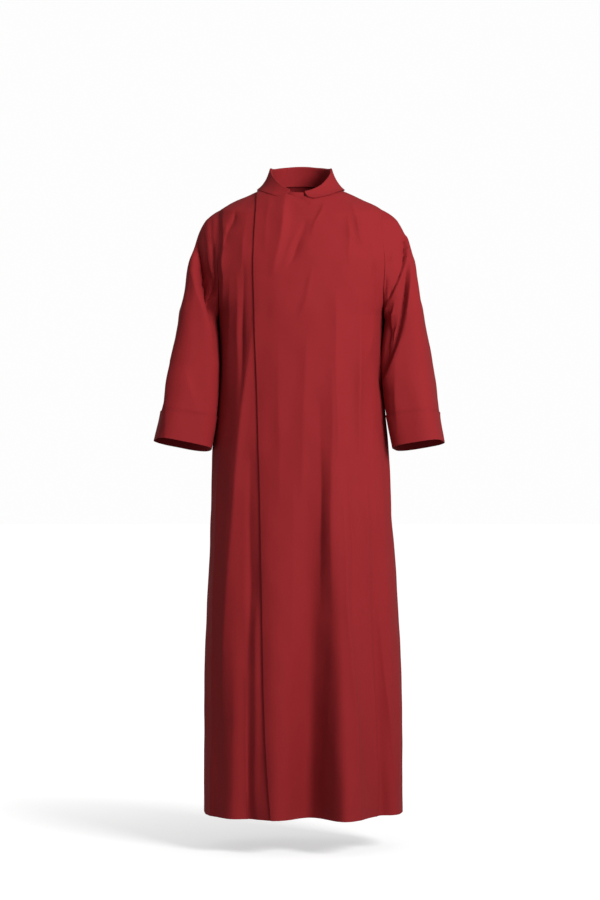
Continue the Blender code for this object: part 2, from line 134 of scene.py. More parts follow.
Fold = namedtuple("Fold", "start_x hem_x start_width hem_width depth start_level")
FRONT_FOLDS = (
    Fold(-0.150, -0.166, 0.022, 0.026, 0.026, -0.62),
    Fold(-0.122, -0.118, 0.016, 0.018, -0.014, -0.90),
    Fold(-0.070, -0.056, 0.036, 0.038, 0.022, -0.60),
    Fold(0.022, 0.020, 0.032, 0.044, -0.050, -0.56),
    Fold(0.078, 0.103, 0.032, 0.040, 0.050, -0.52),
    Fold(0.130, 0.176, 0.028, 0.036, -0.046, -0.60),
)
BACK_FOLDS = (
    Fold(-0.140, -0.165, 0.024, 0.030, 0.024, -0.50),
    Fold(-0.095, -0.108, 0.022, 0.030, -0.030, -0.42),
    Fold(-0.040, -0.046, 0.026, 0.034, 0.026, -0.38),
    Fold(0.012, 0.016, 0.022, 0.030, -0.034, -0.46),
    Fold(0.066, 0.078, 0.026, 0.034, 0.030, -0.40),
    Fold(0.112, 0.136, 0.022, 0.030, -0.028, -0.52),
)
FOLD_GROWTH = 1.25
SIDE_FADE = 8

Ring = namedtuple("Ring", "across forward height half_width half_depth tilt pitch turn")
LEFT_ARM = (
    Ring(0.2372, 0.004, -0.299, 0.0440, 0.084, 0.17, 0.00, 0.00),
    Ring(0.2436, 0.014, -0.400, 0.0564, 0.076, 0.15, 0.06, 0.15),
    Ring(0.2578, 0.034, -0.517, 0.0580, 0.066, 0.10, 0.12, 0.22),
    Ring(0.2708, 0.044, -0.589, 0.0572, 0.062, 0.14, 0.14, 0.22),
)
RIGHT_ARM = (
    Ring(0.2372, 0.004, -0.299, 0.0440, 0.084, 0.17, 0.00, 0.00),
    Ring(0.2448, 0.014, -0.400, 0.0552, 0.076, 0.16, 0.06, 0.15),
    Ring(0.2590, 0.034, -0.518, 0.0610, 0.066, 0.12, 0.12, 0.22),
    Ring(0.2725, 0.044, -0.588, 0.0640, 0.062, 0.17, 0.14, 0.22),
)
CUFF_RING = 2
CUFF_PROUD = 0.0008  # how far the cuff stands off the sleeve, and twice that along its top
CUFF_TOP = 0.05  # the share of the cuff's depth over which its top settles
CUFF_EASE = 1.35  # rows are closer beside the seam between sleeve and cuff
SEAM_DIP, SEAM_DIP_WIDTH = 0.0003, 0.05  # how far the sleeve dips at its cuff, over so many rings
SLEEVE_UNDER_CUFF = 0.05  # how far the sleeve reaches in behind its cuff, in rings
SLEEVE_SQUARENESS = 3.1
SLEEVE_SEWN_TOP = 0.016  # over this far from the armhole, the sleeve's own creases start
SHOULDER_DIRECTION = np.array([0.90, 0.0, -0.40])
MIDDLE_DIRECTION = np.array([0.75, 0.25, -0.60])
UNDERARM_DIRECTION = np.array([0.05, 0.0, -1.0])

# ---------------------------------------------------------------- creases

# A crease is seen from one side of the garment. It runs from its top to its foot, given across
# that side (x from the front and back, y from the left and right) and by level. Its middle stands
# `bow` further across. `minus` and `plus` are its half widths on the low and high side of its line,
# and `push` is how far the cloth stands out along it, or in where it is negative.
Crease = namedtuple("Crease", "side top_across top_level foot_across foot_level bow minus plus push")
SIDES = {
    "front": (np.array([0.0, -1.0, 0.0]), np.array([1.0, 0.0, 0.0])),
    "back": (np.array([0.0, 1.0, 0.0]), np.array([1.0, 0.0, 0.0])),
    "left": (np.array([1.0, 0.0, 0.0]), np.array([0.0, 1.0, 0.0])),
    "right": (np.array([-1.0, 0.0, 0.0]), np.array([0.0, 1.0, 0.0])),
}
CREASE_ENDS = 0.8  # under 1, a crease fades out nearer its ends
CREASE_PROFILE = 1.25  # under 2, a crease is sharper along its line
WAVER, WAVER_TURNS = 0.0012, 9.0  # how far a crease wanders off its line, and how often
UNEVEN = 0.22  # how much its height changes along it
WAVER_START, UNEVEN_START = 90, 70  # these give creases at different places different waves
SEEN_FROM, SEEN_FADE = 0.05, 0.45  # how squarely cloth must face a side to take its creases

SWELL_STRETCH = 2.3  # how much longer a swell is across than along
Swell = namedtuple("Swell", "x y z length phase push")
SWELLS = (
    Swell(1.0, 0.6, 0.25, 0.061, 0.4, 0.00040),
    Swell(-0.8, 0.5, 0.30, 0.043, 2.1, 0.00028),
    Swell(0.5, -0.7, 0.12, 0.095, 4.0, 0.00060),
    Swell(0.9, 0.2, -0.60, 0.130, 1.2, 0.00050),
)


def creases_on(side, *rows):
    """Creases that are all seen from one side, each given by the rest of its sizes."""
    return [Crease(side, *row) for row in rows]


BODY_CREASES = (
    # from under the collar, down the chest
    *creases_on(
        "front",
        (-0.033, 0.004, -0.066, -0.205, 0.006, 0.026, 0.010, 0.0105),
        (-0.072, -0.010, -0.084, -0.150, 0.000, 0.009, 0.010, 0.0022),
        (0.010, -0.074, -0.036, -0.192, 0.004, 0.004, 0.010, -0.0048),
        (-0.004, -0.080, -0.040, -0.170, 0.004, 0.010, 0.004, 0.0020),
        (0.056, -0.026, 0.020, -0.110, 0.000, 0.003, 0.009, 0.0028),
        (0.118, -0.030, 0.144, -0.140, -0.004, 0.009, 0.012, 0.0080),
        (-0.024, -0.010, 0.022, -0.036, 0.000, 0.008, 0.005, -0.0032),
        (0.108, -0.050, 0.110, -0.180, 0.000, 0.009, 0.014, 0.0044),
        (0.026, -0.185, -0.006, -0.310, 0.002, 0.006, 0.012, 0.0030),
        (0.150, -0.050, 0.170, -0.190, 0.000, 0.007, 0.012, 0.0018),
        # from the shoulders and armholes, down the sides of the chest
        (-0.149, -0.048, -0.176, -0.132, 0.000, 0.004, 0.008, -0.0052),
        (-0.166, -0.084, -0.178, -0.140, 0.000, 0.005, 0.006, 0.0030),
        (-0.176, -0.040, -0.176, -0.200, 0.000, 0.006, 0.026, 0.0050),
        (-0.124, -0.060, -0.140, -0.210, 0.000, 0.010, 0.010, 0.0024),
        (-0.178, -0.130, -0.176, -0.280, 0.000, 0.005, 0.010, 0.0060),
        (-0.132, -0.170, -0.134, -0.500, 0.000, 0.010, 0.007, -0.0060),
        (-0.146, -0.190, -0.140, -0.460, 0.000, 0.008, 0.008, 0.0040),
        (-0.160, -0.200, -0.168, -0.480, 0.000, 0.010, 0.010, 0.0034),
        (0.164, -0.165, 0.177, -0.275, 0.000, 0.006, 0.009, -0.0044),
        (0.168, -0.260, 0.140, -0.420, 0.006, 0.010, 0.014, 0.0030),
        # soft upright folds over the waist and on into the skirt
        (0.078, -0.230, 0.082, -0.640, 0.000, 0.014, 0.013, 0.0064),
        (0.134, -0.230, 0.132, -0.680, -0.003, 0.011, 0.013, 0.0100),
        (0.106, -0.600, 0.116, -1.000, 0.000, 0.004, 0.008, -0.0040),
        (0.160, -0.460, 0.170, -0.900, 0.000, 0.012, 0.014, 0.0024),
        (0.010, -0.330, -0.004, -0.760, 0.003, 0.013, 0.015, 0.0034),
        (-0.052, -0.300, -0.048, -0.760, 0.000, 0.014, 0.014, 0.0020),
        (-0.018, -0.640, -0.024, -1.160, 0.003, 0.018, 0.026, 0.0034),
        (-0.040, -1.040, -0.030, -1.520, 0.003, 0.016, 0.022, 0.0026),
        # the deep fold below the waist, the narrow ridge beside it and the one at the side
        (0.068, -0.400, 0.071, -0.980, 0.000, 0.020, 0.034, 0.0110),
        (0.044, -0.470, 0.046, -0.980, 0.000, 0.016, 0.010, -0.0046),
        (0.092, -0.680, 0.141, -1.540, -0.005, 0.005, 0.005, 0.0070),
        (0.142, -0.620, 0.168, -1.560, 0.000, 0.034, 0.010, 0.0170),
        (0.176, -0.960, 0.228, -1.420, -0.004, 0.005, 0.007, 0.0032),
        # the narrow front beside the overlap
        (-0.102, -0.280, -0.176, -1.220, -0.013, 0.034, 0.012, 0.0130),
        (-0.117, -0.600, -0.120, -1.120, 0.000, 0.006, 0.022, -0.0070),
        (-0.101, -0.940, -0.097, -1.470, 0.000, 0.020, 0.006, 0.0080),
        (-0.198, -1.060, -0.204, -1.640, 0.000, 0.014, 0.014, 0.0070),
        (-0.160, -1.040, -0.166, -1.760, 0.000, 0.020, 0.018, -0.0030),
        (-0.126, -1.080, -0.122, -1.760, 0.000, 0.026, 0.012, 0.0120),
    ),
    # the back, between and below the shoulder blades
    *creases_on(
        "back",
        (0.030, -0.020, 0.012, -0.260, 0.004, 0.012, 0.010, 0.0022),
        (-0.048, -0.020, -0.082, -0.230, 0.005, 0.009, 0.013, 0.0024),
        (0.085, -0.035, 0.118, -0.250, -0.006, 0.012, 0.009, 0.0022),
        (-0.120, -0.050, -0.150, -0.240, 0.000, 0.008, 0.012, 0.0020),
        (0.150, -0.080, 0.158, -0.300, 0.000, 0.010, 0.008, 0.0018),
        (-0.150, -0.240, -0.098, -0.440, 0.008, 0.011, 0.008, 0.0028),
        (0.158, -0.250, 0.100, -0.470, -0.008, 0.008, 0.012, 0.0026),
        (0.000, -0.300, 0.006, -0.620, 0.003, 0.013, 0.010, 0.0024),
        (0.060, -0.360, 0.052, -0.760, 0.000, 0.010, 0.014, 0.0030),
        (-0.064, -0.330, -0.074, -0.700, -0.003, 0.013, 0.010, 0.0028),
        (0.136, -0.420, 0.140, -0.860, 0.000, 0.012, 0.016, 0.0034),
        (-0.150, -0.480, -0.136, -0.980, 0.004, 0.014, 0.011, 0.0036),
        (0.024, -0.780, 0.040, -1.260, 0.000, 0.016, 0.012, 0.0032),
        (-0.012, -0.860, -0.020, -1.500, 0.000, 0.012, 0.016, 0.0036),
        (0.104, -0.900, 0.110, -1.500, -0.004, 0.014, 0.018, 0.0040),
        (-0.090, -0.980, -0.080, -1.500, 0.000, 0.015, 0.012, 0.0030),
    ),
    # the sides, down from the underarms
    *creases_on(
        "left",
        (0.046, -0.262, 0.050, -0.400, 0.000, 0.022, 0.030, 0.0045),
    ),
    *creases_on(
        "right",
        (0.046, -0.262, 0.050, -0.400, 0.000, 0.022, 0.030, 0.0045),
    ),
    *creases_on(
        "left",
        (-0.030, -0.330, -0.052, -0.900, 0.006, 0.012, 0.016, 0.0040),
        (0.040, -0.380, 0.062, -1.100, -0.004, 0.016, 0.013, 0.0044),
        (-0.082, -0.560, -0.092, -1.260, 0.004, 0.014, 0.012, 0.0036),
        (0.004, -0.760, 0.000, -1.500, 0.000, 0.013, 0.017, 0.0046),
        (0.100, -0.880, 0.112, -1.500, 0.000, 0.015, 0.014, 0.0038),
        (-0.052, -1.000, -0.060, -1.500, 0.003, 0.012, 0.014, 0.0030),
    ),
    *creases_on(
        "right",
        (-0.022, -0.320, -0.036, -0.840, 0.005, 0.013, 0.015, 0.0040),
        (0.050, -0.400, 0.072, -1.160, -0.005, 0.015, 0.014, 0.0042),
        (-0.074, -0.520, -0.086, -1.200, 0.004, 0.013, 0.013, 0.0036),
        (0.012, -0.820, 0.008, -1.500, 0.000, 0.014, 0.016, 0.0046),
        (-0.040, -0.940, -0.052, -1.500, 0.003, 0.012, 0.015, 0.0034),
        (0.104, -0.960, 0.116, -1.500, 0.000, 0.016, 0.013, 0.0036),
    ),
)
LEFT_SLEEVE_CREASES = (
    # the long fold over the front of the arm, the hollow beside it and the small creases in that
    *creases_on(
        "front",
        (0.250, -0.150, 0.182, -0.470, 0.019, 0.005, 0.034, 0.0150),
        (0.241, -0.165, 0.173, -0.470, 0.019, 0.010, 0.004, -0.0080),
        (0.208, -0.290, 0.190, -0.430, 0.000, 0.014, 0.012, -0.0100),
        (0.214, -0.255, 0.200, -0.370, 0.000, 0.003, 0.004, 0.0050),
        (0.200, -0.225, 0.190, -0.350, 0.000, 0.003, 0.004, 0.0040),
        (0.222, -0.300, 0.204, -0.380, 0.000, 0.004, 0.003, 0.0034),
        (0.245, -0.060, 0.200, -0.270, 0.0155, 0.003, 0.014, 0.0070),
        (0.241, -0.070, 0.195, -0.265, 0.0155, 0.008, 0.002, -0.0064),
        (0.208, -0.145, 0.184, -0.216, 0.000, 0.006, 0.003, -0.0040),
        (0.196, -0.200, 0.184, -0.280, 0.000, 0.004, 0.003, -0.0040),
        (0.208, -0.225, 0.194, -0.275, 0.000, 0.004, 0.003, -0.0030),
        (0.216, -0.390, 0.220, -0.580, 0.000, 0.010, 0.020, 0.0050),
        (0.222, -0.060, 0.262, -0.200, -0.008, 0.007, 0.010, 0.0014),
    ),
    # the outside, back and inside of the arm
    *creases_on(
        "left",
        (0.000, -0.070, 0.000, -0.270, 0.000, 0.060, 0.060, -0.0080),
        (0.000, -0.250, -0.010, -0.480, 0.000, 0.060, 0.060, 0.0040),
        (-0.050, -0.120, -0.036, -0.360, 0.006, 0.010, 0.014, 0.0030),
        (0.030, -0.110, 0.016, -0.330, -0.006, 0.014, 0.010, 0.0030),
        (0.052, -0.300, -0.006, -0.500, 0.006, 0.010, 0.014, 0.0038),
    ),
    *creases_on(
        "back",
        (0.246, -0.120, 0.210, -0.360, 0.004, 0.008, 0.016, 0.0080),
        (0.206, -0.220, 0.236, -0.400, -0.004, 0.010, 0.006, 0.0070),
        (0.202, -0.160, 0.190, -0.300, 0.000, 0.004, 0.006, 0.0040),
        (0.226, -0.110, 0.200, -0.250, 0.004, 0.004, 0.005, -0.0036),
        (0.270, -0.260, 0.252, -0.480, 0.006, 0.016, 0.009, 0.0060),
        (0.224, -0.380, 0.262, -0.520, 0.000, 0.009, 0.012, 0.0036),
    ),
    *creases_on(
        "right",
        (0.050, -0.220, 0.050, -0.560, 0.000, 0.032, 0.034, 0.0180),
    ),
)
RIGHT_SLEEVE_CREASES = (
    # the hollow from the shoulder down to the underarm, with small creases in it
    *creases_on(
        "front",
        (-0.262, -0.095, -0.160, -0.400, -0.007, 0.004, 0.024, -0.0360),
        (-0.264, -0.150, -0.166, -0.400, -0.008, 0.018, 0.004, 0.0040),
        (-0.221, -0.080, -0.200, -0.220, -0.004, 0.004, 0.004, 0.0044),
        (-0.216, -0.060, -0.192, -0.240, -0.006, 0.004, 0.004, 0.0046),
        (-0.216, -0.100, -0.202, -0.200, -0.003, 0.005, 0.005, -0.0030),
        (-0.202, -0.060, -0.196, -0.180, 0.000, 0.004, 0.005, 0.0036),
        (-0.204, -0.110, -0.188, -0.250, -0.003, 0.005, 0.005, -0.0030),
        (-0.198, -0.190, -0.184, -0.400, 0.000, 0.014, 0.012, -0.0120),
        (-0.266, -0.410, -0.238, -0.520, 0.000, 0.022, 0.008, 0.0030),
        (-0.270, -0.220, -0.320, -0.680, 0.000, 0.022, 0.034, 0.0130),
        (-0.214, -0.400, -0.222, -0.540, 0.003, 0.010, 0.010, 0.0012),
    ),
    # the outside, back and inside of the arm
    *creases_on(
        "right",
        (0.000, -0.070, 0.000, -0.280, 0.000, 0.060, 0.060, -0.0130),
        (0.000, -0.390, -0.010, -0.520, 0.000, 0.060, 0.060, -0.0040),
        (-0.044, -0.110, -0.030, -0.340, 0.006, 0.010, 0.014, 0.0030),
        (0.024, -0.120, 0.010, -0.350, -0.006, 0.014, 0.010, 0.0028),
        (0.046, -0.280, -0.010, -0.480, 0.006, 0.012, 0.014, 0.0040),
    ),
    *creases_on(
        "back",
        (-0.244, -0.120, -0.208, -0.350, -0.004, 0.016, 0.008, 0.0076),
        (-0.204, -0.230, -0.240, -0.410, 0.004, 0.006, 0.010, 0.0066),
        (-0.200, -0.150, -0.190, -0.300, 0.000, 0.005, 0.004, 0.0038),
        (-0.228, -0.110, -0.202, -0.260, -0.004, 0.005, 0.004, -0.0034),
        (-0.272, -0.250, -0.250, -0.470, -0.006, 0.009, 0.016, 0.0058),
        (-0.222, -0.390, -0.266, -0.520, 0.000, 0.012, 0.009, 0.0036),
    ),
    *creases_on(
        "left",
        (0.050, -0.220, 0.050, -0.560, 0.000, 0.032, 0.034, 0.0180),
    ),
)

# ---------------------------------------------------------------- stitches and finish

CLOTH_MAP = "cloth"
SHARP_EDGE = np.radians(60)
MEETING = 1e-6  # points closer than this are one
STITCH_PITCH = 0.0030
COLLAR_STITCHES_IN = 0.0040
FRONT_STITCHES_IN = 0.0060
HEM_STITCHES_UP = 0.022
CUFF_STITCHES_DOWN = 0.0025
THREAD_SUNK = 0.0001  # each stitch draws itself this far into the cloth
STITCH_LENGTH = 0.0022
THREAD_WIDTH = 0.00045

THREAD_PITCH = 0.0007  # from one thread of the weave to the next
WEAVE_DEPTH = 0.0003
SLUBS_ALONG, SLUBS_ACROSS = 30.0, 700.0
CLOUDS = 9.0
WEFT_OFFSET = 3.7
SHADE_BY_WEAVE, SHADE_BY_WARP, SHADE_BY_WEFT, SHADE_BY_CLOUDS = 0.24, 0.28, 0.20, 0.28
HEIGHT_BY_WEAVE, HEIGHT_BY_WARP, HEIGHT_BY_WEFT = 0.6, 0.25, 0.15
BUMP_STRENGTH = 0.6
CLOTH_ROUGHNESS, SMOOTHER_ON_TOP = 0.90, 0.14
CLOTH_SHINE = 0.15
SHEEN, SHEEN_ROUGHNESS = 0.03, 0.5
SHEEN_RED = (0.9, 0.35, 0.35)
FRAY = 2500.0
THREAD_ROUGHNESS, THREAD_SHINE = 0.62, 0.3
DARK_RED = (0.220, 0.0110, 0.0135)
LIGHT_RED = (0.280, 0.0165, 0.0200)


def column(table, name):
    return np.array([getattr(row, name) for row in table])


def smooth_through(places, values, at):
    """A curve through the values at increasing places, which never overshoots between two of them."""
    step = np.diff(places)
    slope = np.diff(values) / step
    before, after = slope[:-1], slope[1:]
    same_way = before * after > 0
    total = np.where(same_way, before + after, 1.0)
    inner = np.where(same_way, 2 * before * after / total, 0.0)
    tangent = np.concatenate([slope[:1], inner, slope[-1:]])
    at = np.clip(at, places[0], places[-1])
    cell = np.clip(np.searchsorted(places, at, side="right") - 1, 0, len(step) - 1)
    t = (at - places[cell]) / step[cell]
    start = values[cell] * (1 + 2 * t) + tangent[cell] * step[cell] * t
    end = values[cell + 1] * (3 - 2 * t) - tangent[cell + 1] * step[cell] * (1 - t)
    return start * (1 - t) ** 2 + end * t**2


def smoothstep(t):
    t = np.clip(t, 0.0, 1.0)
    return t * t * (3 - 2 * t)


def unit(vectors):
    return vectors / np.clip(np.linalg.norm(vectors, axis=-1, keepdims=True), 1e-12, None)


def between(first, last, share):
    return first + (last - first) * np.clip(share, 0.0, 1.0)


# ---------------------------------------------------------------- the body's form


def body_value(name, level):
    return smooth_through(-column(BODY, "level"), column(BODY, name), -level)


def armhole_angle(level):
    """How far round from the side seam the armhole's edge lies, zero above and below the armhole."""
    middle = (SHOULDER_TIP_LEVEL + UNDERARM_LEVEL) / 2
    half = (SHOULDER_TIP_LEVEL - UNDERARM_LEVEL) / 2
    return ARMHOLE_ANGLE * np.sqrt(np.clip(1 - ((level - middle) / half) ** 2, 0.0, 1.0))


def fold_depth(folds, x, level):
    """How far the folds push the cloth out at this x and level."""
    total = np.zeros(np.broadcast(x, level).shape)
    for fold in folds:
        way_down = np.clip((level - fold.start_level) / (HEM_LEVEL - fold.start_level), 0.0, 1.0)
        middle = fold.start_x + (fold.hem_x - fold.start_x) * way_down
        width = fold.start_width + (fold.hem_width - fold.start_width) * way_down
        total += fold.depth * way_down**FOLD_GROWTH * np.exp(-(((x - middle) / width) ** 2))
    return total


def body_point(angle, level):
    """A point of the body's form: angle 0 is the left side, a quarter turn is the front."""
    power = 2 / body_value("squareness", level)
    cosine, sine = np.cos(angle), np.sin(angle)
    across = np.sign(cosine) * np.abs(cosine) ** power
    x = body_value("middle", level) + body_value("half_width", level) * across
    side_fade = 1 - np.abs(across) ** SIDE_FADE
    front = sine > 0
    reach = np.abs(sine) ** power
    forward = body_value("front_depth", level) * reach
    forward = forward + side_fade * fold_depth(FRONT_FOLDS, x, level)
    backward = body_value("back_depth", level) * reach
    backward = backward + side_fade * fold_depth(BACK_FOLDS, x, level)
    fade = np.clip((level - CHEST_LEVEL) / (NECK_LEVEL - CHEST_LEVEL), 0.0, 1.0)
    tilt = np.where(front, -FRONT_NECK_DIP, BACK_NECK_RISE) * fade * sine**2
    return np.stack([x, np.where(front, -forward, backward), level + tilt], axis=-1)


def body_normal(angle, level):
    """The outward direction of the body's form, from points a little to each side."""
    step = 1e-4
    round_it = body_point(angle + step, level) - body_point(angle - step, level)
    lower = np.clip(level - step, HEM_LEVEL, None)
    upper = np.clip(level + step, None, NECK_LEVEL)
    up_it = body_point(angle, upper) - body_point(angle, lower)
    return unit(np.cross(up_it, round_it))


def front_angle(x, level):
    """The angle at which the front of the body passes x, or the side seam's where x is past it."""
    share = (x - body_value("middle", level)) / body_value("half_width", level)
    power = body_value("squareness", level) / 2
    return np.arccos(np.clip(np.sign(share) * np.abs(share) ** power, -1.0, 1.0))


def overlap_x(level):
    return smooth_through(-column(OVERLAP_EDGE, "level"), column(OVERLAP_EDGE, "x"), -level)


def body_levels():
    neck = np.linspace(0, 1, NECK_ROWS + 1)[:-1] ** NECK_ROW_EASE
    neck = NECK_LEVEL + (SHOULDER_TIP_LEVEL - NECK_LEVEL) * neck
    turn = np.linspace(0, np.pi, ARMHOLE_ROWS + 1)[:-1]
    drop = (SHOULDER_TIP_LEVEL - UNDERARM_LEVEL) / 2
    armhole = SHOULDER_TIP_LEVEL - drop * (1 - np.cos(turn))
    skirt = np.linspace(UNDERARM_LEVEL, HEM_LEVEL, SKIRT_ROWS + 1)
    return np.concatenate([neck, armhole, skirt])


def row_level(down):
    levels = body_levels()
    return np.interp(down, np.linspace(0, 1, len(levels)), levels)


def past_armhole(level, share):
    """What a grid's columns add to their angle to make room for the armhole, less away from it."""
    return armhole_angle(level) * np.clip(1 - share, 0.0, 1.0) ** COLUMN_EASE


def place_front_left(across, down):
    """The wide front, from the left side seam over the middle to its free edge on the right."""
    level = row_level(down)
    edge_x = overlap_x(level)
    inner = front_angle(edge_x + UNDERLAP, level)
    edge = front_angle(edge_x, level)
    cells = WIDE_FRONT_COLUMNS + OVERLAP_COLUMNS
    wide_share = across * cells / WIDE_FRONT_COLUMNS
    angle = between(0.0, inner, wide_share) + past_armhole(level, wide_share)
    angle += between(0.0, edge - inner, (across * cells - WIDE_FRONT_COLUMNS) / OVERLAP_COLUMNS)
    points = body_point(angle, level)
    near_edge = smoothstep(1 - (points[:, 0] - edge_x) / EDGE_LIFT_WIDTH)
    lift = PLY * smoothstep(wide_share) + EDGE_LIFT * near_edge
    normals = body_normal(angle, level)
    return points + lift[:, None] * normals - np.array([0.0, SEAM_SHIFT, 0.0]), normals


def place_front_right(across, down):
    """The narrow front, from its edge beneath the left front to the right side seam."""
    level = row_level(down)
    inner = front_angle(overlap_x(level) + UNDERLAP, level)
    edge = front_angle(overlap_x(level), level)
    side = np.pi - armhole_angle(level)
    cells = NARROW_FRONT_COLUMNS + OVERLAP_COLUMNS
    angle = between(inner, edge, across * cells / OVERLAP_COLUMNS)
    angle += between(0.0, side - edge, (across * cells - OVERLAP_COLUMNS) / NARROW_FRONT_COLUMNS)
    return body_point(angle, level) - np.array([0.0, SEAM_SHIFT, 0.0]), body_normal(angle, level)


def place_back(across, down):
    """The back, from the right side seam round to the left."""
    level = row_level(down)
    angle = np.pi * (1 + across)
    angle += past_armhole(level, 2 * across) - past_armhole(level, 2 - 2 * across)
    from_seam = BACK_COLUMNS * np.minimum(across, 1 - across)
    sewn = np.clip(1 - armhole_angle(level) / TURNED_IN_FADE, 0.0, 1.0)
    behind = sewn * np.clip(1 - from_seam, 0.0, 1.0)
    angle += TURNED_IN * behind * np.where(across < 0.5, -1, 1)
    normals = body_normal(angle, level)
    points = body_point(angle, level) - TURNED_IN_DEPTH * behind[:, None] * normals
    return points + np.array([0.0, SEAM_SHIFT, 0.0]), normals


# ---------------------------------------------------------------- sleeves and cuffs


def creased_armhole(turn, side):
    """A point of an armhole, as the body's creases leave it: turn 0 is the shoulder tip and a
    quarter turn is the front. The right armhole's points are given on the left."""
    drop = (SHOULDER_TIP_LEVEL - UNDERARM_LEVEL) / 2
    level = SHOULDER_TIP_LEVEL - drop * (1 - np.cos(turn))
    angle = np.where(np.sin(turn) >= 0, 1, -1) * armhole_angle(level)
    swap_side = np.array([side, 1.0, 1.0])
    points = body_point(angle, level) * swap_side
    normals = body_normal(angle, level) * swap_side
    push = crease_push(BODY_CREASES, points, normals) + swell_push(points)
    return (points + push[:, None] * normals) * swap_side


def ring_point(arm, turn, along):
    """A point of a sleeve's ring and the outward direction there; `along` counts the arm's rings."""
    steps = np.arange(len(arm), dtype=float)
    ring = {name: smooth_through(steps, column(arm, name), along) for name in Ring._fields}
    power = 2 / SLEEVE_SQUARENESS
    outward = np.sign(np.cos(turn)) * np.abs(np.cos(turn)) ** power
    forward = np.sign(np.sin(turn)) * np.abs(np.sin(turn)) ** power
    wide, deep = ring["half_width"] * outward, ring["half_depth"] * forward
    cosine, sine = np.cos(ring["turn"]), np.sin(ring["turn"])
    wide, deep = wide * cosine - deep * sine, deep * cosine + wide * sine
    x = ring["across"] + wide * np.cos(ring["tilt"])
    y = -ring["forward"] - deep * np.cos(ring["pitch"])
    z = ring["height"] + wide * np.sin(ring["tilt"]) + deep * np.sin(ring["pitch"])
    direction = np.stack([wide, -deep, np.zeros_like(wide)], axis=-1)
    return np.stack([x, y, z], axis=-1), unit(direction)


def leaving_direction(turn):
    """Which way the sleeve leaves the armhole."""
    top = np.clip(np.cos(turn), 0.0, 1.0)[:, None] ** 2
    bottom = np.clip(-np.cos(turn), 0.0, 1.0)[:, None] ** 0.5
    middle = MIDDLE_DIRECTION * np.stack([np.ones_like(turn), np.sin(turn), np.ones_like(turn)], -1)
    direction = middle + top * (SHOULDER_DIRECTION - middle)
    return unit(direction + bottom * (UNDERARM_DIRECTION - direction))


def sleeve_head(arm, side, turn, share):
    """From just inside the armhole to the sleeve's first ring, leaving and arriving smoothly."""
    low = (1 - np.cos(turn)) / 2
    start = creased_armhole(turn, side)
    start = start + np.stack([UNDERARM_GAP * low - TUCK * (1 - low), 0 * low, 0 * low], axis=-1)
    end, _ = ring_point(arm, turn, np.zeros_like(turn))
    beyond, _ = ring_point(arm, turn, np.full_like(turn, RING_STEP))
    length = np.linalg.norm(end - start, axis=-1, keepdims=True)
    leaves = leaving_direction(turn) * length * HEAD_LEAVES
    arrives = unit(beyond - end) * length * HEAD_ARRIVES
    t = share[:, None]
    first = start * (1 + 2 * t) + leaves * t
    last = end * (3 - 2 * t) - arrives * (1 - t)
    return first * (1 - t) ** 2 + last * t**2


def place_sleeve(arm, side):
    """A sleeve: its head fans out from the armhole, then it is a tube down to the cuff's seam."""

    def place(across, down):
        turn = 2 * np.pi * across
        row = down * (SLEEVE_HEAD_ROWS + SLEEVE_ROWS)
        head = sleeve_head(arm, side, turn, np.clip(row / SLEEVE_HEAD_ROWS, 0.0, 1.0))
        along = np.clip((row - SLEEVE_HEAD_ROWS) / SLEEVE_ROWS, 0.0, 1.0)
        along = (CUFF_RING + SLEEVE_UNDER_CUFF) * (1 - (1 - along) ** CUFF_EASE)
        tube, direction = ring_point(arm, turn, along)
        tucked = SEAM_DIP * smoothstep(1 - (CUFF_RING - along) / SEAM_DIP_WIDTH)
        tube = tube - tucked[:, None] * direction
        points = np.where((row < SLEEVE_HEAD_ROWS)[:, None], head, tube)
        return points * np.array([side, 1.0, 1.0]), None

    return place


def place_cuff(arm, side):
    """A cuff: a deep band that stands a little proud of the sleeve that it is sewn to."""
    gap = SEAM_SHIFT / (arm[CUFF_RING].height - arm[-1].height)

    def place(across, down):
        down = down**CUFF_EASE
        along = between(CUFF_RING + gap, len(arm) - 1, down)
        points, direction = ring_point(arm, 2 * np.pi * across, along)
        proud = CUFF_PROUD * (1 + np.exp(-down / CUFF_TOP))[:, None]
        return (points + proud * direction) * np.array([side, 1.0, 1.0]), None

    return place


# ---------------------------------------------------------------- collar and neck band


def stand_height(angle):
    forward = np.clip(np.sin(angle), 0.0, 1.0)
    return STAND_BACK + (STAND_FRONT - STAND_BACK) * forward**STAND_EASE


def neck_frame(angle):
    """The neckline's point at an angle, and the level direction straight out from it."""
    level = np.full_like(angle, NECK_LEVEL)
    outward = body_normal(angle, level) * np.array([1.0, 1.0, 0.0])
    return body_point(angle, level), unit(outward)


def stand_point(angle, height):
    """A point of the stand, which leans inward as it rises."""
    base, outward = neck_frame(angle)
    inset = (STAND_INSET + STAND_LEAN * np.clip(height, 0.0, None))[:, None]
    return base - inset * outward + height[:, None] * np.array([0.0, 0.0, 1.0])


def corner_fullness(angle, start, end):
    """How much of the fall there is: all of it, but for the rounded corners at both ends."""
    neck_radius = BODY[0].half_width
    to_end = neck_radius * np.minimum(angle - start, end - angle)
    short = np.clip(1 - to_end / CORNER_RADIUS, 0.0, 1.0)
    return CORNER_DEPTH + (1 - CORNER_DEPTH) * np.sqrt(1 - short**2)


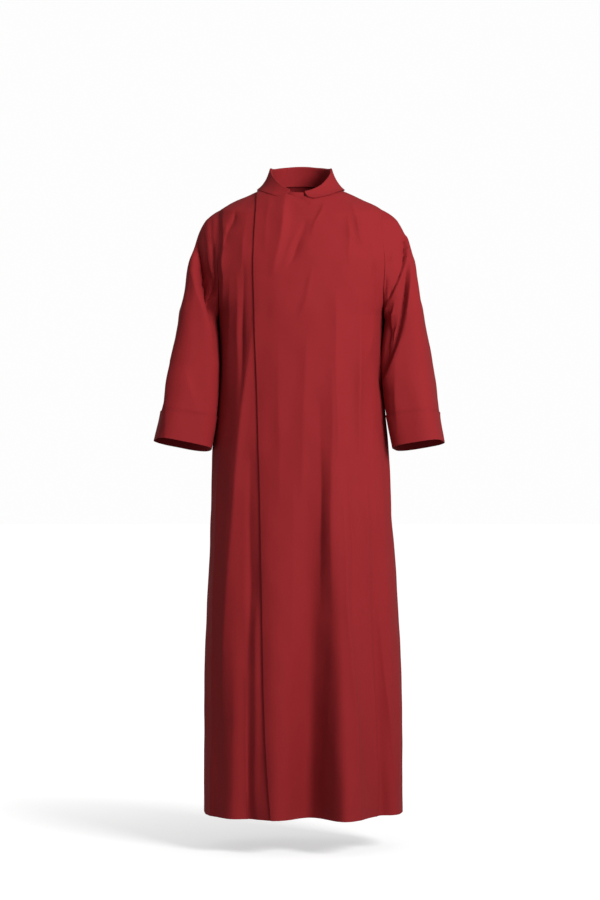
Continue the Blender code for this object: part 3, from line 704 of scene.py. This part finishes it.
def place_collar(across, down):
    """The collar: up the stand, over the roll and down the fall, from corner to corner."""
    level = np.array([NECK_LEVEL])
    end = front_angle(np.array([LEFT_CORNER_X]), level)[0]
    start = front_angle(np.array([RIGHT_CORNER_X]), level)[0] - 2 * np.pi
    angle = start + (end - start) * across
    row = down * (STAND_ROWS + ROLL_ROWS + FALL_ROWS)
    rise = stand_height(angle)
    up = np.clip(row / STAND_ROWS, 0.0, 1.0)
    stand = stand_point(angle, STAND_FOOT + (rise - STAND_FOOT) * up)
    _, outward = neck_frame(angle)
    turn = np.pi * np.clip((row - STAND_ROWS) / ROLL_ROWS, 0.0, 1.0)[:, None]
    top = np.array([0.0, 0.0, 1.0])
    over = stand + ROLL_RADIUS * ((1 - np.cos(turn)) * outward + np.sin(turn) * top)
    roll_end = stand_point(angle, rise) + 2 * ROLL_RADIUS * outward
    fall_level = np.full_like(angle, FALL_LEVEL)
    plies = SIDE_PLIES + (2 - SIDE_PLIES) * np.clip(np.sin(angle), 0.0, 1.0)
    lift = (plies * PLY + COLLAR_CLOTH / 2)[:, None] * body_normal(angle, fall_level)
    edge = body_point(angle, fall_level) + lift
    edge = roll_end + (edge - roll_end) * corner_fullness(angle, start, end)[:, None]
    bend = roll_end + (edge - roll_end) * FALL_BEND
    t = np.clip((row - STAND_ROWS - ROLL_ROWS) / FALL_ROWS, 0.0, 1.0)[:, None]
    fall = roll_end * (1 - t) ** 2 + 2 * bend * t * (1 - t) + edge * t**2
    return np.where((row > STAND_ROWS + ROLL_ROWS)[:, None], fall, over), None


def place_neck_band(across, down):
    """The front of the stand, which shows between the collar's corners."""
    level = np.array([NECK_LEVEL])
    gap = 2 * SEAM_SHIFT / BODY[0].half_width
    start = front_angle(np.array([LEFT_CORNER_X]), level)[0] + gap
    end = front_angle(np.array([RIGHT_CORNER_X]), level)[0] - gap
    angle = between(start, end, across)
    return stand_point(angle, between(STAND_FRONT, STAND_FOOT, down)), None


# ---------------------------------------------------------------- how creases lie in the cloth


def along_and_off(crease, across, level):
    """How far down the crease's line each point lies, from 0 to 1, and how far off it, across."""
    run_across = crease.foot_across - crease.top_across
    run_level = crease.foot_level - crease.top_level
    length = np.hypot(run_across, run_level)
    right, up = across - crease.top_across, level - crease.top_level
    share = np.clip((right * run_across + up * run_level) / length**2, 0.0, 1.0)
    off = (up * run_across - right * run_level) / length
    waver = WAVER * np.sin(WAVER_TURNS * share + WAVER_START * crease.top_across)
    return share, off - crease.bow * 4 * share * (1 - share) - waver


def crease_push(creases, points, normals):
    """How far the creases push each point of the cloth out."""
    push = np.zeros(len(points))
    for crease in creases:
        facing, across = SIDES[crease.side]
        share, off = along_and_off(crease, points @ across, points[:, 2])
        width = np.where(off < 0, crease.minus, crease.plus)
        strength = np.clip(np.sin(np.pi * share), 0.0, 1.0) ** CREASE_ENDS
        wave = np.sin(WAVER_TURNS * share - UNEVEN_START * crease.foot_across)
        strength = strength * (1 + UNEVEN * wave)
        seen = smoothstep((normals @ facing - SEEN_FROM) / SEEN_FADE)
        push += crease.push * strength * seen * np.exp(-(np.abs(off / width) ** CREASE_PROFILE))
    return push


def swell_push(points):
    """The slight unevenness that all of the cloth has."""
    push = np.zeros(len(points))
    for swell in SWELLS:
        along = points @ unit(np.array([swell.x, swell.y, swell.z]))
        across = points @ unit(np.array([swell.z, swell.x, swell.y]))
        wave = np.sin(2 * np.pi * along / swell.length + swell.phase)
        push += swell.push * wave * np.sin(2 * np.pi * across / (SWELL_STRETCH * swell.length) + swell.phase)
    return push


def grid_normals(points, closed):
    """Directions square to a grid of points, from the points on both sides."""
    down = np.gradient(points, axis=0)
    if closed:
        across = np.roll(points, -1, axis=1) - np.roll(points, 1, axis=1)
    else:
        across = np.gradient(points, axis=1)
    return unit(np.cross(-down, across))


def grid_lengths(points, axis):
    """How far along the cloth each point of a grid is from its first row or column."""
    steps = np.linalg.norm(np.diff(points, axis=axis), axis=2)
    start = np.zeros_like(steps[:1] if axis == 0 else steps[:, :1])
    return np.concatenate([start, np.cumsum(steps, axis=axis)], axis=axis)


def cloth_map(mesh, points, faces, columns):
    """A map in metres of cloth: across the piece from its middle, and down it from its top."""
    across = grid_lengths(points, 1)
    across = across - across[:, columns // 2 : columns // 2 + 1]
    down = np.broadcast_to(grid_lengths(points, 0).mean(axis=1, keepdims=True), across.shape)
    layer = mesh.uv_layers.new(name=CLOTH_MAP)
    corners = np.stack([across, -down], axis=-1).reshape(-1, 2)[faces.ravel()]
    layer.data.foreach_set("uv", corners.astype(np.float32).ravel())


Piece = namedtuple("Piece", "obj points normals")


def grid_faces(columns, rows, width, turned):
    """The corners of a grid's cells, for rows of points this wide."""
    row, cell = np.meshgrid(np.arange(rows), np.arange(columns), indexing="ij")
    corners = [(row, cell), (row, cell + 1), (row + 1, cell + 1), (row + 1, cell)]
    if turned:
        corners.reverse()
    return np.stack([(r * width + c % width).ravel() for r, c in corners], axis=1)


def cloth_piece(
    name, columns, rows, place, thickness, creases, closed=False, turned=False, sewn_top=0.0
):
    """A grid of cells moved to where the cloth lies, creased, and thickened into a thin wall.

    Where its top is sewn to creased cloth, its own creases start over the first `sewn_top`.
    """
    across, down = np.meshgrid(np.linspace(0, 1, columns + 1), np.linspace(0, 1, rows + 1))
    points, normals = place(across.ravel(), down.ravel())
    points = points.reshape(rows + 1, columns + 1, 3)[:, : columns + (not closed)]
    if normals is None:
        normals = grid_normals(points, closed) * (-1 if turned else 1)
    normals = normals.reshape(-1, 3)
    flat = points.reshape(-1, 3)
    push = crease_push(creases, flat, normals) + swell_push(flat)
    if sewn_top:
        push = push * smoothstep(grid_lengths(points, 0) / sewn_top).ravel()
    points = (flat + push[:, None] * normals).reshape(points.shape)
    wrapped = np.concatenate([points, points[:, :1]], axis=1) if closed else points
    mesh = bpy.data.meshes.new(name)
    faces = grid_faces(columns, rows, points.shape[1], turned)
    mesh.from_pydata(points.reshape(-1, 3).tolist(), [], faces.tolist())
    cloth_map(mesh, wrapped, grid_faces(columns, rows, columns + 1, turned), columns)
    close_up(mesh)
    obj = put_in_scene(name, mesh)
    wall = obj.modifiers.new("cloth thickness", "SOLIDIFY")
    wall.thickness = thickness
    wall.offset = 0.0
    settle(obj)
    obj.data.shade_smooth()
    obj.data.set_sharp_from_angle(angle=SHARP_EDGE)
    return Piece(obj, wrapped, grid_normals(wrapped, False) * (-1 if turned else 1))


def put_in_scene(name, data):
    obj = bpy.data.objects.new(name, data)
    bpy.context.scene.collection.objects.link(obj)
    return obj


def close_up(mesh):
    """Merges the points that meet where a piece of cloth runs out to nothing."""
    grid = bmesh.new()
    grid.from_mesh(mesh)
    bmesh.ops.remove_doubles(grid, verts=grid.verts, dist=MEETING)
    grid.to_mesh(mesh)
    grid.free()


def settle(obj):
    """Makes what an object's modifiers show its own plain mesh."""
    graph = bpy.context.evaluated_depsgraph_get()
    made = bpy.data.meshes.new_from_object(obj.evaluated_get(graph))
    obj.modifiers.clear()
    old = obj.data
    obj.data = made
    bpy.data.meshes.remove(old)
    made.name = obj.name


# ---------------------------------------------------------------- stitching


def line_in_from(points, normals, distance, height):
    """A line on the cloth at a distance from the grid's first column, standing this high."""
    reach = grid_lengths(points, 1)
    line = np.empty((len(points), 3))
    facing = np.empty((len(points), 3))
    for row in range(len(points)):
        for axis in range(3):
            line[row, axis] = np.interp(distance, reach[row], points[row, :, axis])
            facing[row, axis] = np.interp(distance, reach[row], normals[row, :, axis])
    facing = unit(facing)
    return line + height * facing, facing


def from_top(piece):
    """A piece's grid turned so that its first column is its top row."""
    return piece.points.transpose(1, 0, 2), piece.normals.transpose(1, 0, 2)


def from_foot(piece):
    """A piece's grid turned so that its first column is its last row."""
    return piece.points[::-1].transpose(1, 0, 2), piece.normals[::-1].transpose(1, 0, 2)


def from_free_edge(piece):
    """A piece's grid turned so that its first column is its last."""
    return piece.points[:, ::-1], piece.normals[:, ::-1]


def sewn_line(grid, distance, wall, clear=0.0, closed=False):
    """A line for stitches, which stops short of its two ends by what is kept clear."""
    height = (wall + THREAD_WIDTH) / 2 - THREAD_SUNK
    line, facing = line_in_from(*grid, distance, height)
    reach = np.concatenate([[0.0], np.cumsum(np.linalg.norm(np.diff(line, axis=0), axis=1))])
    kept = (reach >= clear) & (reach <= reach[-1] - clear)
    if closed:
        kept[-1] = False
    return line[kept], facing[kept], closed


def sewn_round(cuff):
    """A line for stitches all round a cuff, just below its top."""
    return sewn_line(from_top(cuff), CUFF_STITCHES_DOWN, CUFF_CLOTH, closed=True)


def stitch_tree():
    """Stitches laid end to end along a line of edges, each turned to lie on the cloth."""
    tree = bpy.data.node_groups.new("stitches along a line", "GeometryNodeTree")
    tree.interface.new_socket(name="Geometry", in_out="INPUT", socket_type="NodeSocketGeometry")
    for name in ("Pitch", "Stitch length", "Thread width"):
        socket = tree.interface.new_socket(name=name, in_out="INPUT", socket_type="NodeSocketFloat")
        socket.min_value = 0.0
    tree.interface.new_socket(name="Thread", in_out="INPUT", socket_type="NodeSocketMaterial")
    tree.interface.new_socket(name="Geometry", in_out="OUTPUT", socket_type="NodeSocketGeometry")
    graph = Graph(tree)
    given = graph.node("NodeGroupInput")
    curve = graph.node("GeometryNodeMeshToCurve", inputs={"Mesh": given.outputs["Geometry"]})
    spaced = graph.node(
        "GeometryNodeResampleCurve",
        {"mode": "LENGTH"},
        {"Curve": curve.outputs[0], "Length": given.outputs["Pitch"]},
    )
    bead = graph.node("GeometryNodeMeshUVSphere", inputs={"Segments": 6, "Rings": 5, "Radius": 0.5})
    size = graph.node(
        "ShaderNodeCombineXYZ",
        inputs={
            "X": given.outputs["Stitch length"],
            "Y": given.outputs["Thread width"],
            "Z": given.outputs["Thread width"],
        },
    )
    along = graph.node("GeometryNodeInputTangent")
    facing = graph.node(
        "GeometryNodeInputNamedAttribute", {"data_type": "FLOAT_VECTOR"}, {"Name": "facing"}
    )
    turned = graph.node(
        "FunctionNodeAxesToRotation",
        {"primary_axis": "X", "secondary_axis": "Z"},
        {"Primary Axis": along.outputs[0], "Secondary Axis": facing.outputs[0]},
    )
    laid = graph.node(
        "GeometryNodeInstanceOnPoints",
        inputs={
            "Points": spaced.outputs[0],
            "Instance": bead.outputs["Mesh"],
            "Rotation": turned.outputs[0],
            "Scale": size.outputs[0],
        },
    )
    real = graph.node("GeometryNodeRealizeInstances", inputs={"Geometry": laid.outputs[0]})
    coated = graph.node(
        "GeometryNodeSetMaterial",
        inputs={"Geometry": real.outputs[0], "Material": given.outputs["Thread"]},
    )
    graph.node("NodeGroupOutput", inputs={"Geometry": coated.outputs[0]})
    return tree


def stitching(name, sewn, tree, thread):
    """A row of stitches along a line on the cloth, as one plain mesh."""
    points, facings, closed = sewn
    count = len(points)
    edges = [(i, (i + 1) % count) for i in range(count if closed else count - 1)]
    mesh = bpy.data.meshes.new(name)
    mesh.from_pydata(points.tolist(), edges, [])
    facing = mesh.attributes.new("facing", "FLOAT_VECTOR", "POINT")
    facing.data.foreach_set("vector", facings.astype(np.float32).ravel())
    obj = put_in_scene(name, mesh)
    rows = obj.modifiers.new("stitches", "NODES")
    rows.node_group = tree
    values = {"Pitch": STITCH_PITCH, "Stitch length": STITCH_LENGTH, "Thread width": THREAD_WIDTH}
    for item in tree.interface.items_tree:
        if item.in_out == "INPUT" and item.name in values:
            rows[item.identifier] = values[item.name]
        elif item.in_out == "INPUT" and item.name == "Thread":
            rows[item.identifier] = thread
    settle(obj)
    return obj


# ---------------------------------------------------------------- materials


def in_use(sockets, name):
    """The socket with this name that the node's settings have brought into use."""
    return next(socket for socket in sockets if socket.name == name and socket.enabled)


class Graph:
    """Adds nodes to a tree."""

    def __init__(self, tree):
        self.tree = tree

    def node(self, kind, settings=None, inputs=None):
        """A new node: its settings are made first, then its sockets take values or links."""
        node = self.tree.nodes.new(kind)
        for name, value in (settings or {}).items():
            setattr(node, name, value)
        for name, value in (inputs or {}).items():
            socket = in_use(node.inputs, name)
            if isinstance(value, Maths):
                value = value.socket
            if isinstance(value, bpy.types.NodeSocket):
                self.tree.links.new(value, socket)
            else:
                socket.default_value = value
        return node

    def maths(self, operation, *values):
        node = self.tree.nodes.new("ShaderNodeMath")
        node.operation = operation
        for socket, value in zip(node.inputs, values):
            if isinstance(value, Maths):
                self.tree.links.new(value.socket, socket)
            else:
                socket.default_value = value
        return Maths(self, node.outputs[0])


class Maths:
    """A socket that can be reckoned with: each operation adds its Math node."""

    def __init__(self, graph, socket):
        self.graph = graph
        self.socket = socket

    def __add__(self, other):
        return self.graph.maths("ADD", self, other)

    def __rsub__(self, other):
        return self.graph.maths("SUBTRACT", other, self)

    def __mul__(self, other):
        return self.graph.maths("MULTIPLY", self, other)

    def sine(self):
        return self.graph.maths("SINE", self)

    __radd__ = __add__
    __rmul__ = __mul__


def new_material(name):
    material = bpy.data.materials.new(name)
    material.use_nodes = True
    material.node_tree.nodes.clear()
    return material, Graph(material.node_tree)


def noise_on(graph, coordinates, scale, detail, offset=0.0):
    """Smooth noise from 0 to 1, stretched by a scale along each axis."""
    moved = graph.node(
        "ShaderNodeMapping",
        inputs={"Vector": coordinates, "Location": (offset, offset, offset), "Scale": scale},
    )
    noise = graph.node(
        "ShaderNodeTexNoise", inputs={"Vector": moved.outputs[0], "Scale": 1.0, "Detail": detail}
    )
    return Maths(graph, noise.outputs["Fac"])


def mixed_red(graph, share):
    """A red between the darker and the lighter one."""
    mixed = graph.node(
        "ShaderNodeMix",
        {"data_type": "RGBA"},
        {"Factor": share, "A": (*DARK_RED, 1.0), "B": (*LIGHT_RED, 1.0)},
    )
    return in_use(mixed.outputs, "Result")


def red_cloth():
    """Matte plain-weave cloth, deep red, with slightly uneven threads."""
    material, graph = new_material("red_cloth")
    laid = graph.node("ShaderNodeUVMap", {"uv_map": CLOTH_MAP}).outputs["UV"]
    apart = graph.node("ShaderNodeSeparateXYZ", inputs={"Vector": laid})
    across, down = Maths(graph, apart.outputs["X"]), Maths(graph, apart.outputs["Y"])
    turn = 2 * np.pi / (2 * THREAD_PITCH)
    weave = 0.5 + 0.5 * (across * turn).sine() * (down * turn).sine()
    warp = noise_on(graph, laid, (SLUBS_ACROSS, SLUBS_ALONG, 1.0), 2.0)
    weft = noise_on(graph, laid, (SLUBS_ALONG, SLUBS_ACROSS, 1.0), 2.0, WEFT_OFFSET)
    cloud = noise_on(graph, laid, (CLOUDS, CLOUDS, CLOUDS), 3.0)
    shade = SHADE_BY_WEAVE * weave + SHADE_BY_WARP * warp
    shade = shade + SHADE_BY_WEFT * weft + SHADE_BY_CLOUDS * cloud
    height = HEIGHT_BY_WEAVE * weave + HEIGHT_BY_WARP * warp + HEIGHT_BY_WEFT * weft
    bump = graph.node(
        "ShaderNodeBump",
        inputs={"Height": height, "Distance": WEAVE_DEPTH, "Strength": BUMP_STRENGTH},
    )
    surface = graph.node(
        "ShaderNodeBsdfPrincipled",
        inputs={
            "Base Color": mixed_red(graph, shade),
            "Roughness": CLOTH_ROUGHNESS - SMOOTHER_ON_TOP * weave,
            "Specular IOR Level": CLOTH_SHINE,
            "Sheen Weight": SHEEN,
            "Sheen Roughness": SHEEN_ROUGHNESS,
            "Sheen Tint": (*SHEEN_RED, 1.0),
            "Normal": bump.outputs[0],
        },
    )
    graph.node("ShaderNodeOutputMaterial", inputs={"Surface": surface.outputs[0]})
    return material


def red_thread():
    """Sewing thread in the cloth's own red, twisted and a little glossier."""
    material, graph = new_material("red_thread")
    place = graph.node("ShaderNodeTexCoord").outputs["Object"]
    fray = noise_on(graph, place, (FRAY, FRAY, FRAY), 1.0)
    surface = graph.node(
        "ShaderNodeBsdfPrincipled",
        inputs={
            "Base Color": mixed_red(graph, fray),
            "Roughness": THREAD_ROUGHNESS,
            "Specular IOR Level": THREAD_SHINE,
        },
    )
    graph.node("ShaderNodeOutputMaterial", inputs={"Surface": surface.outputs[0]})
    return material


# ---------------------------------------------------------------- the garment put together


def sheet_of(piece):
    """Works out the cross product of the two diagonals of each cell of a piece's grid, and keeps none of it.
    """
    corners = piece.points
    one = np.cross(corners[1:, 1:] - corners[:-1, :-1], corners[1:, :-1] - corners[:-1, 1:])


def dress(obj, material, node):
    obj.data.materials.clear()
    obj.data.materials.append(material)
    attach(obj, "root")
    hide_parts(node)


cloth = red_cloth()
thread = red_thread()
stitches = stitch_tree()

body_rows = NECK_ROWS + ARMHOLE_ROWS + SKIRT_ROWS
sleeve_rows = SLEEVE_HEAD_ROWS + SLEEVE_ROWS
collar_rows = STAND_ROWS + ROLL_ROWS + FALL_ROWS
wide_columns = WIDE_FRONT_COLUMNS + OVERLAP_COLUMNS
narrow_columns = NARROW_FRONT_COLUMNS + OVERLAP_COLUMNS

left_front, right_front, back = (
    cloth_piece(name, columns, body_rows, place, CLOTH, BODY_CREASES)
    for name, columns, place in (
        ("left_front_cloth", wide_columns, place_front_left),
        ("right_front_cloth", narrow_columns, place_front_right),
        ("back_cloth", BACK_COLUMNS, place_back),
    )
)
arms = (
    ("left", 1, LEFT_ARM, LEFT_SLEEVE_CREASES),
    ("right", -1, RIGHT_ARM, RIGHT_SLEEVE_CREASES),
)
left_sleeve, right_sleeve = (
    cloth_piece(
        name + "_sleeve_cloth",
        SLEEVE_COLUMNS,
        sleeve_rows,
        place_sleeve(arm, side),
        CLOTH,
        own_creases,
        closed=True,
        turned=side < 0,
        sewn_top=SLEEVE_SEWN_TOP,
    )
    for name, side, arm, own_creases in arms
)
left_cuff, right_cuff = (
    cloth_piece(
        name + "_cuff_cloth",
        SLEEVE_COLUMNS,
        CUFF_ROWS,
        place_cuff(arm, side),
        CUFF_CLOTH,
        own_creases,
        closed=True,
        turned=side < 0,
    )
    for name, side, arm, own_creases in arms
)
collar = cloth_piece("collar_cloth", COLLAR_COLUMNS, collar_rows, place_collar, COLLAR_CLOTH, ())
neck_band = cloth_piece("neck_band_cloth", BAND_COLUMNS, BAND_ROWS, place_neck_band, COLLAR_CLOTH, ())

collar_line = sewn_line(from_foot(collar), COLLAR_STITCHES_IN, COLLAR_CLOTH, clear=COLLAR_STITCHES_IN)
sewn_rows = [
    stitching(name, sewn, stitches, thread)
    for name, sewn in (
        ("front_edge_stitching", sewn_line(from_free_edge(left_front), FRONT_STITCHES_IN, CLOTH)),
        ("left_front_hem_stitching", sewn_line(from_foot(left_front), HEM_STITCHES_UP, CLOTH)),
        ("right_front_hem_stitching", sewn_line(from_foot(right_front), HEM_STITCHES_UP, CLOTH)),
        ("back_hem_stitching", sewn_line(from_foot(back), HEM_STITCHES_UP, CLOTH)),
        ("collar_stitching", collar_line),
        ("left_cuff_stitching", sewn_round(left_cuff)),
        ("right_cuff_stitching", sewn_round(right_cuff)),
    )
]
for row in sewn_rows:
    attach(row, "root")

for piece, node in (
    (left_front, "front_left"),
    (right_front, "front_right"),
    (back, "back"),
    (left_sleeve, "sleeve_left"),
    (right_sleeve, "sleeve_right"),
    (left_cuff, "cuff_left"),
    (right_cuff, "cuff_right"),
    (collar, "collar"),
    (neck_band, "neck_band"),
):
    dress(piece.obj, cloth, node)

sheet_of(
    left_front,
)
sheet_of(right_front)
sheet_of(back)
sheet_of(left_sleeve)
sheet_of(right_sleeve)
sheet_of(left_cuff)
sheet_of(right_cuff)
sheet_of(collar)
sheet_of(neck_band)

# ---------------------------------------------------------------- camera, light and floor

CAMERA_PLACE = (-0.0023, -6.9, -0.60)
CAMERA_LENS = 119
KEY_PLACE = (2.15, -2.95, 1.06)
KEY_AIM = (0.0, 0.0, -0.36)
KEY_SIZE = 1.6
KEY_POWER = 64
KEY_SPREAD = np.radians(110)
AMBIENT = 0.34
FLOOR_LEVEL = -1.52
STUDIO_RADIUS = 30.0
WHITE = 0.985
FLOOR_DIFFUSE = 0.6
# the floor's glow is painted light: weaker near the garment, a painted shade where its shadow falls, and
# stronger far off, where the lamp doesn't reach
NEAR_GLOW, FAR_GLOW = 0.58, 0.83
GLOW_NEAR, GLOW_FAR = 1.53, 2.00  # from the middle of the neck, 1.52 above the floor
BACKDROP_SIDES = 48
BACKDROP_FOOT = 1.0  # how far the backdrop reaches down past the floor
CAMERA_REACH = 100


def glowing(name, diffuse, strength):
    """A plain pale surface with a glow that goes with distance from the middle, from the first strength to
    the second; on the floor this glow is painted light, weaker near the garment as a painted shade where its
    shadow falls and stronger far off where the lamp doesn't reach.
    """
    material, graph = new_material(name)
    place = graph.node("ShaderNodeTexCoord").outputs["Object"]
    far = graph.node("ShaderNodeVectorMath", {"operation": "LENGTH"}, {"Vector": place})
    spread = graph.node(
        "ShaderNodeMapRange",
        inputs={
            "Value": far.outputs["Value"],
            "From Min": GLOW_NEAR,
            "From Max": GLOW_FAR,
            "To Min": strength[0],
            "To Max": strength[1],
        },
    )
    shine = graph.node("ShaderNodeEmission", inputs={"Strength": spread.outputs[0]})
    matte = graph.node("ShaderNodeBsdfDiffuse", inputs={"Color": (diffuse, diffuse, diffuse, 1.0)})
    both = graph.node("ShaderNodeAddShader")
    graph.tree.links.new(shine.outputs[0], both.inputs[0])
    graph.tree.links.new(matte.outputs[0], both.inputs[1])
    graph.node("ShaderNodeOutputMaterial", inputs={"Surface": both.outputs[0]})
    return material


def stage_piece(name, points, faces, material):
    """A piece of the studio, which the garment's light passes by."""
    mesh = bpy.data.meshes.new(name)
    mesh.from_pydata(points, [], faces)
    mesh.materials.append(material)
    obj = put_in_scene(name, mesh)
    obj.visible_diffuse = False
    obj.visible_glossy = False
    obj.visible_transmission = False
    obj.visible_shadow = False


def round_backdrop():
    """A pale wall and ceiling far off, all round."""
    turns = np.linspace(0, 2 * np.pi, BACKDROP_SIDES + 1)[:-1]
    heights = (FLOOR_LEVEL - BACKDROP_FOOT, STUDIO_RADIUS)
    points = [(STUDIO_RADIUS * np.cos(t), STUDIO_RADIUS * np.sin(t), h) for h in heights for t in turns]
    count = len(turns)
    faces = [(i, (i + 1) % count, count + (i + 1) % count, count + i) for i in range(count)]
    faces.append(tuple(range(count, 2 * count)))
    stage_piece("backdrop", points, faces, glowing("backdrop_white", 0.0, (WHITE, WHITE)))


def floor():
    half = STUDIO_RADIUS
    corners = [(-half, -half), (half, -half), (half, half), (-half, half)]
    points = [(x, y, FLOOR_LEVEL) for x, y in corners]
    # the floor is pale with a painted glow: painted shade near the garment, painted light far off
    white = glowing("floor_white_and_painted_light", FLOOR_DIFFUSE, (NEAR_GLOW, FAR_GLOW))
    stage_piece("floor", points, [(0, 1, 2, 3)], white)


round_backdrop()
floor()

lamp = bpy.data.lights.new("key_light", "AREA")
lamp.shape = "DISK"
lamp.size = KEY_SIZE
lamp.energy = KEY_POWER
lamp.spread = KEY_SPREAD
key = put_in_scene("key_light", lamp)
key.location = KEY_PLACE
key.rotation_euler = (Vector(KEY_AIM) - Vector(KEY_PLACE)).to_track_quat("-Z", "Y").to_euler()

world = bpy.data.worlds.new("studio")
world.use_nodes = True
world.node_tree.nodes.clear()
sky = Graph(world.node_tree)
light = sky.node("ShaderNodeBackground", inputs={"Color": (1.0, 1.0, 1.0, 1.0), "Strength": AMBIENT})
sky.node("ShaderNodeOutputWorld", inputs={"Surface": light.outputs[0]})
bpy.context.scene.world = world
bpy.context.scene.view_settings.view_transform = "Standard"

camera_data = bpy.data.cameras.new("camera")
camera_data.lens = CAMERA_LENS
camera_data.clip_end = CAMERA_REACH
camera = put_in_scene("camera", camera_data)
camera.location = CAMERA_PLACE
camera.rotation_euler = (np.pi / 2, 0.0, 0.0)
bpy.context.scene.camera = camera
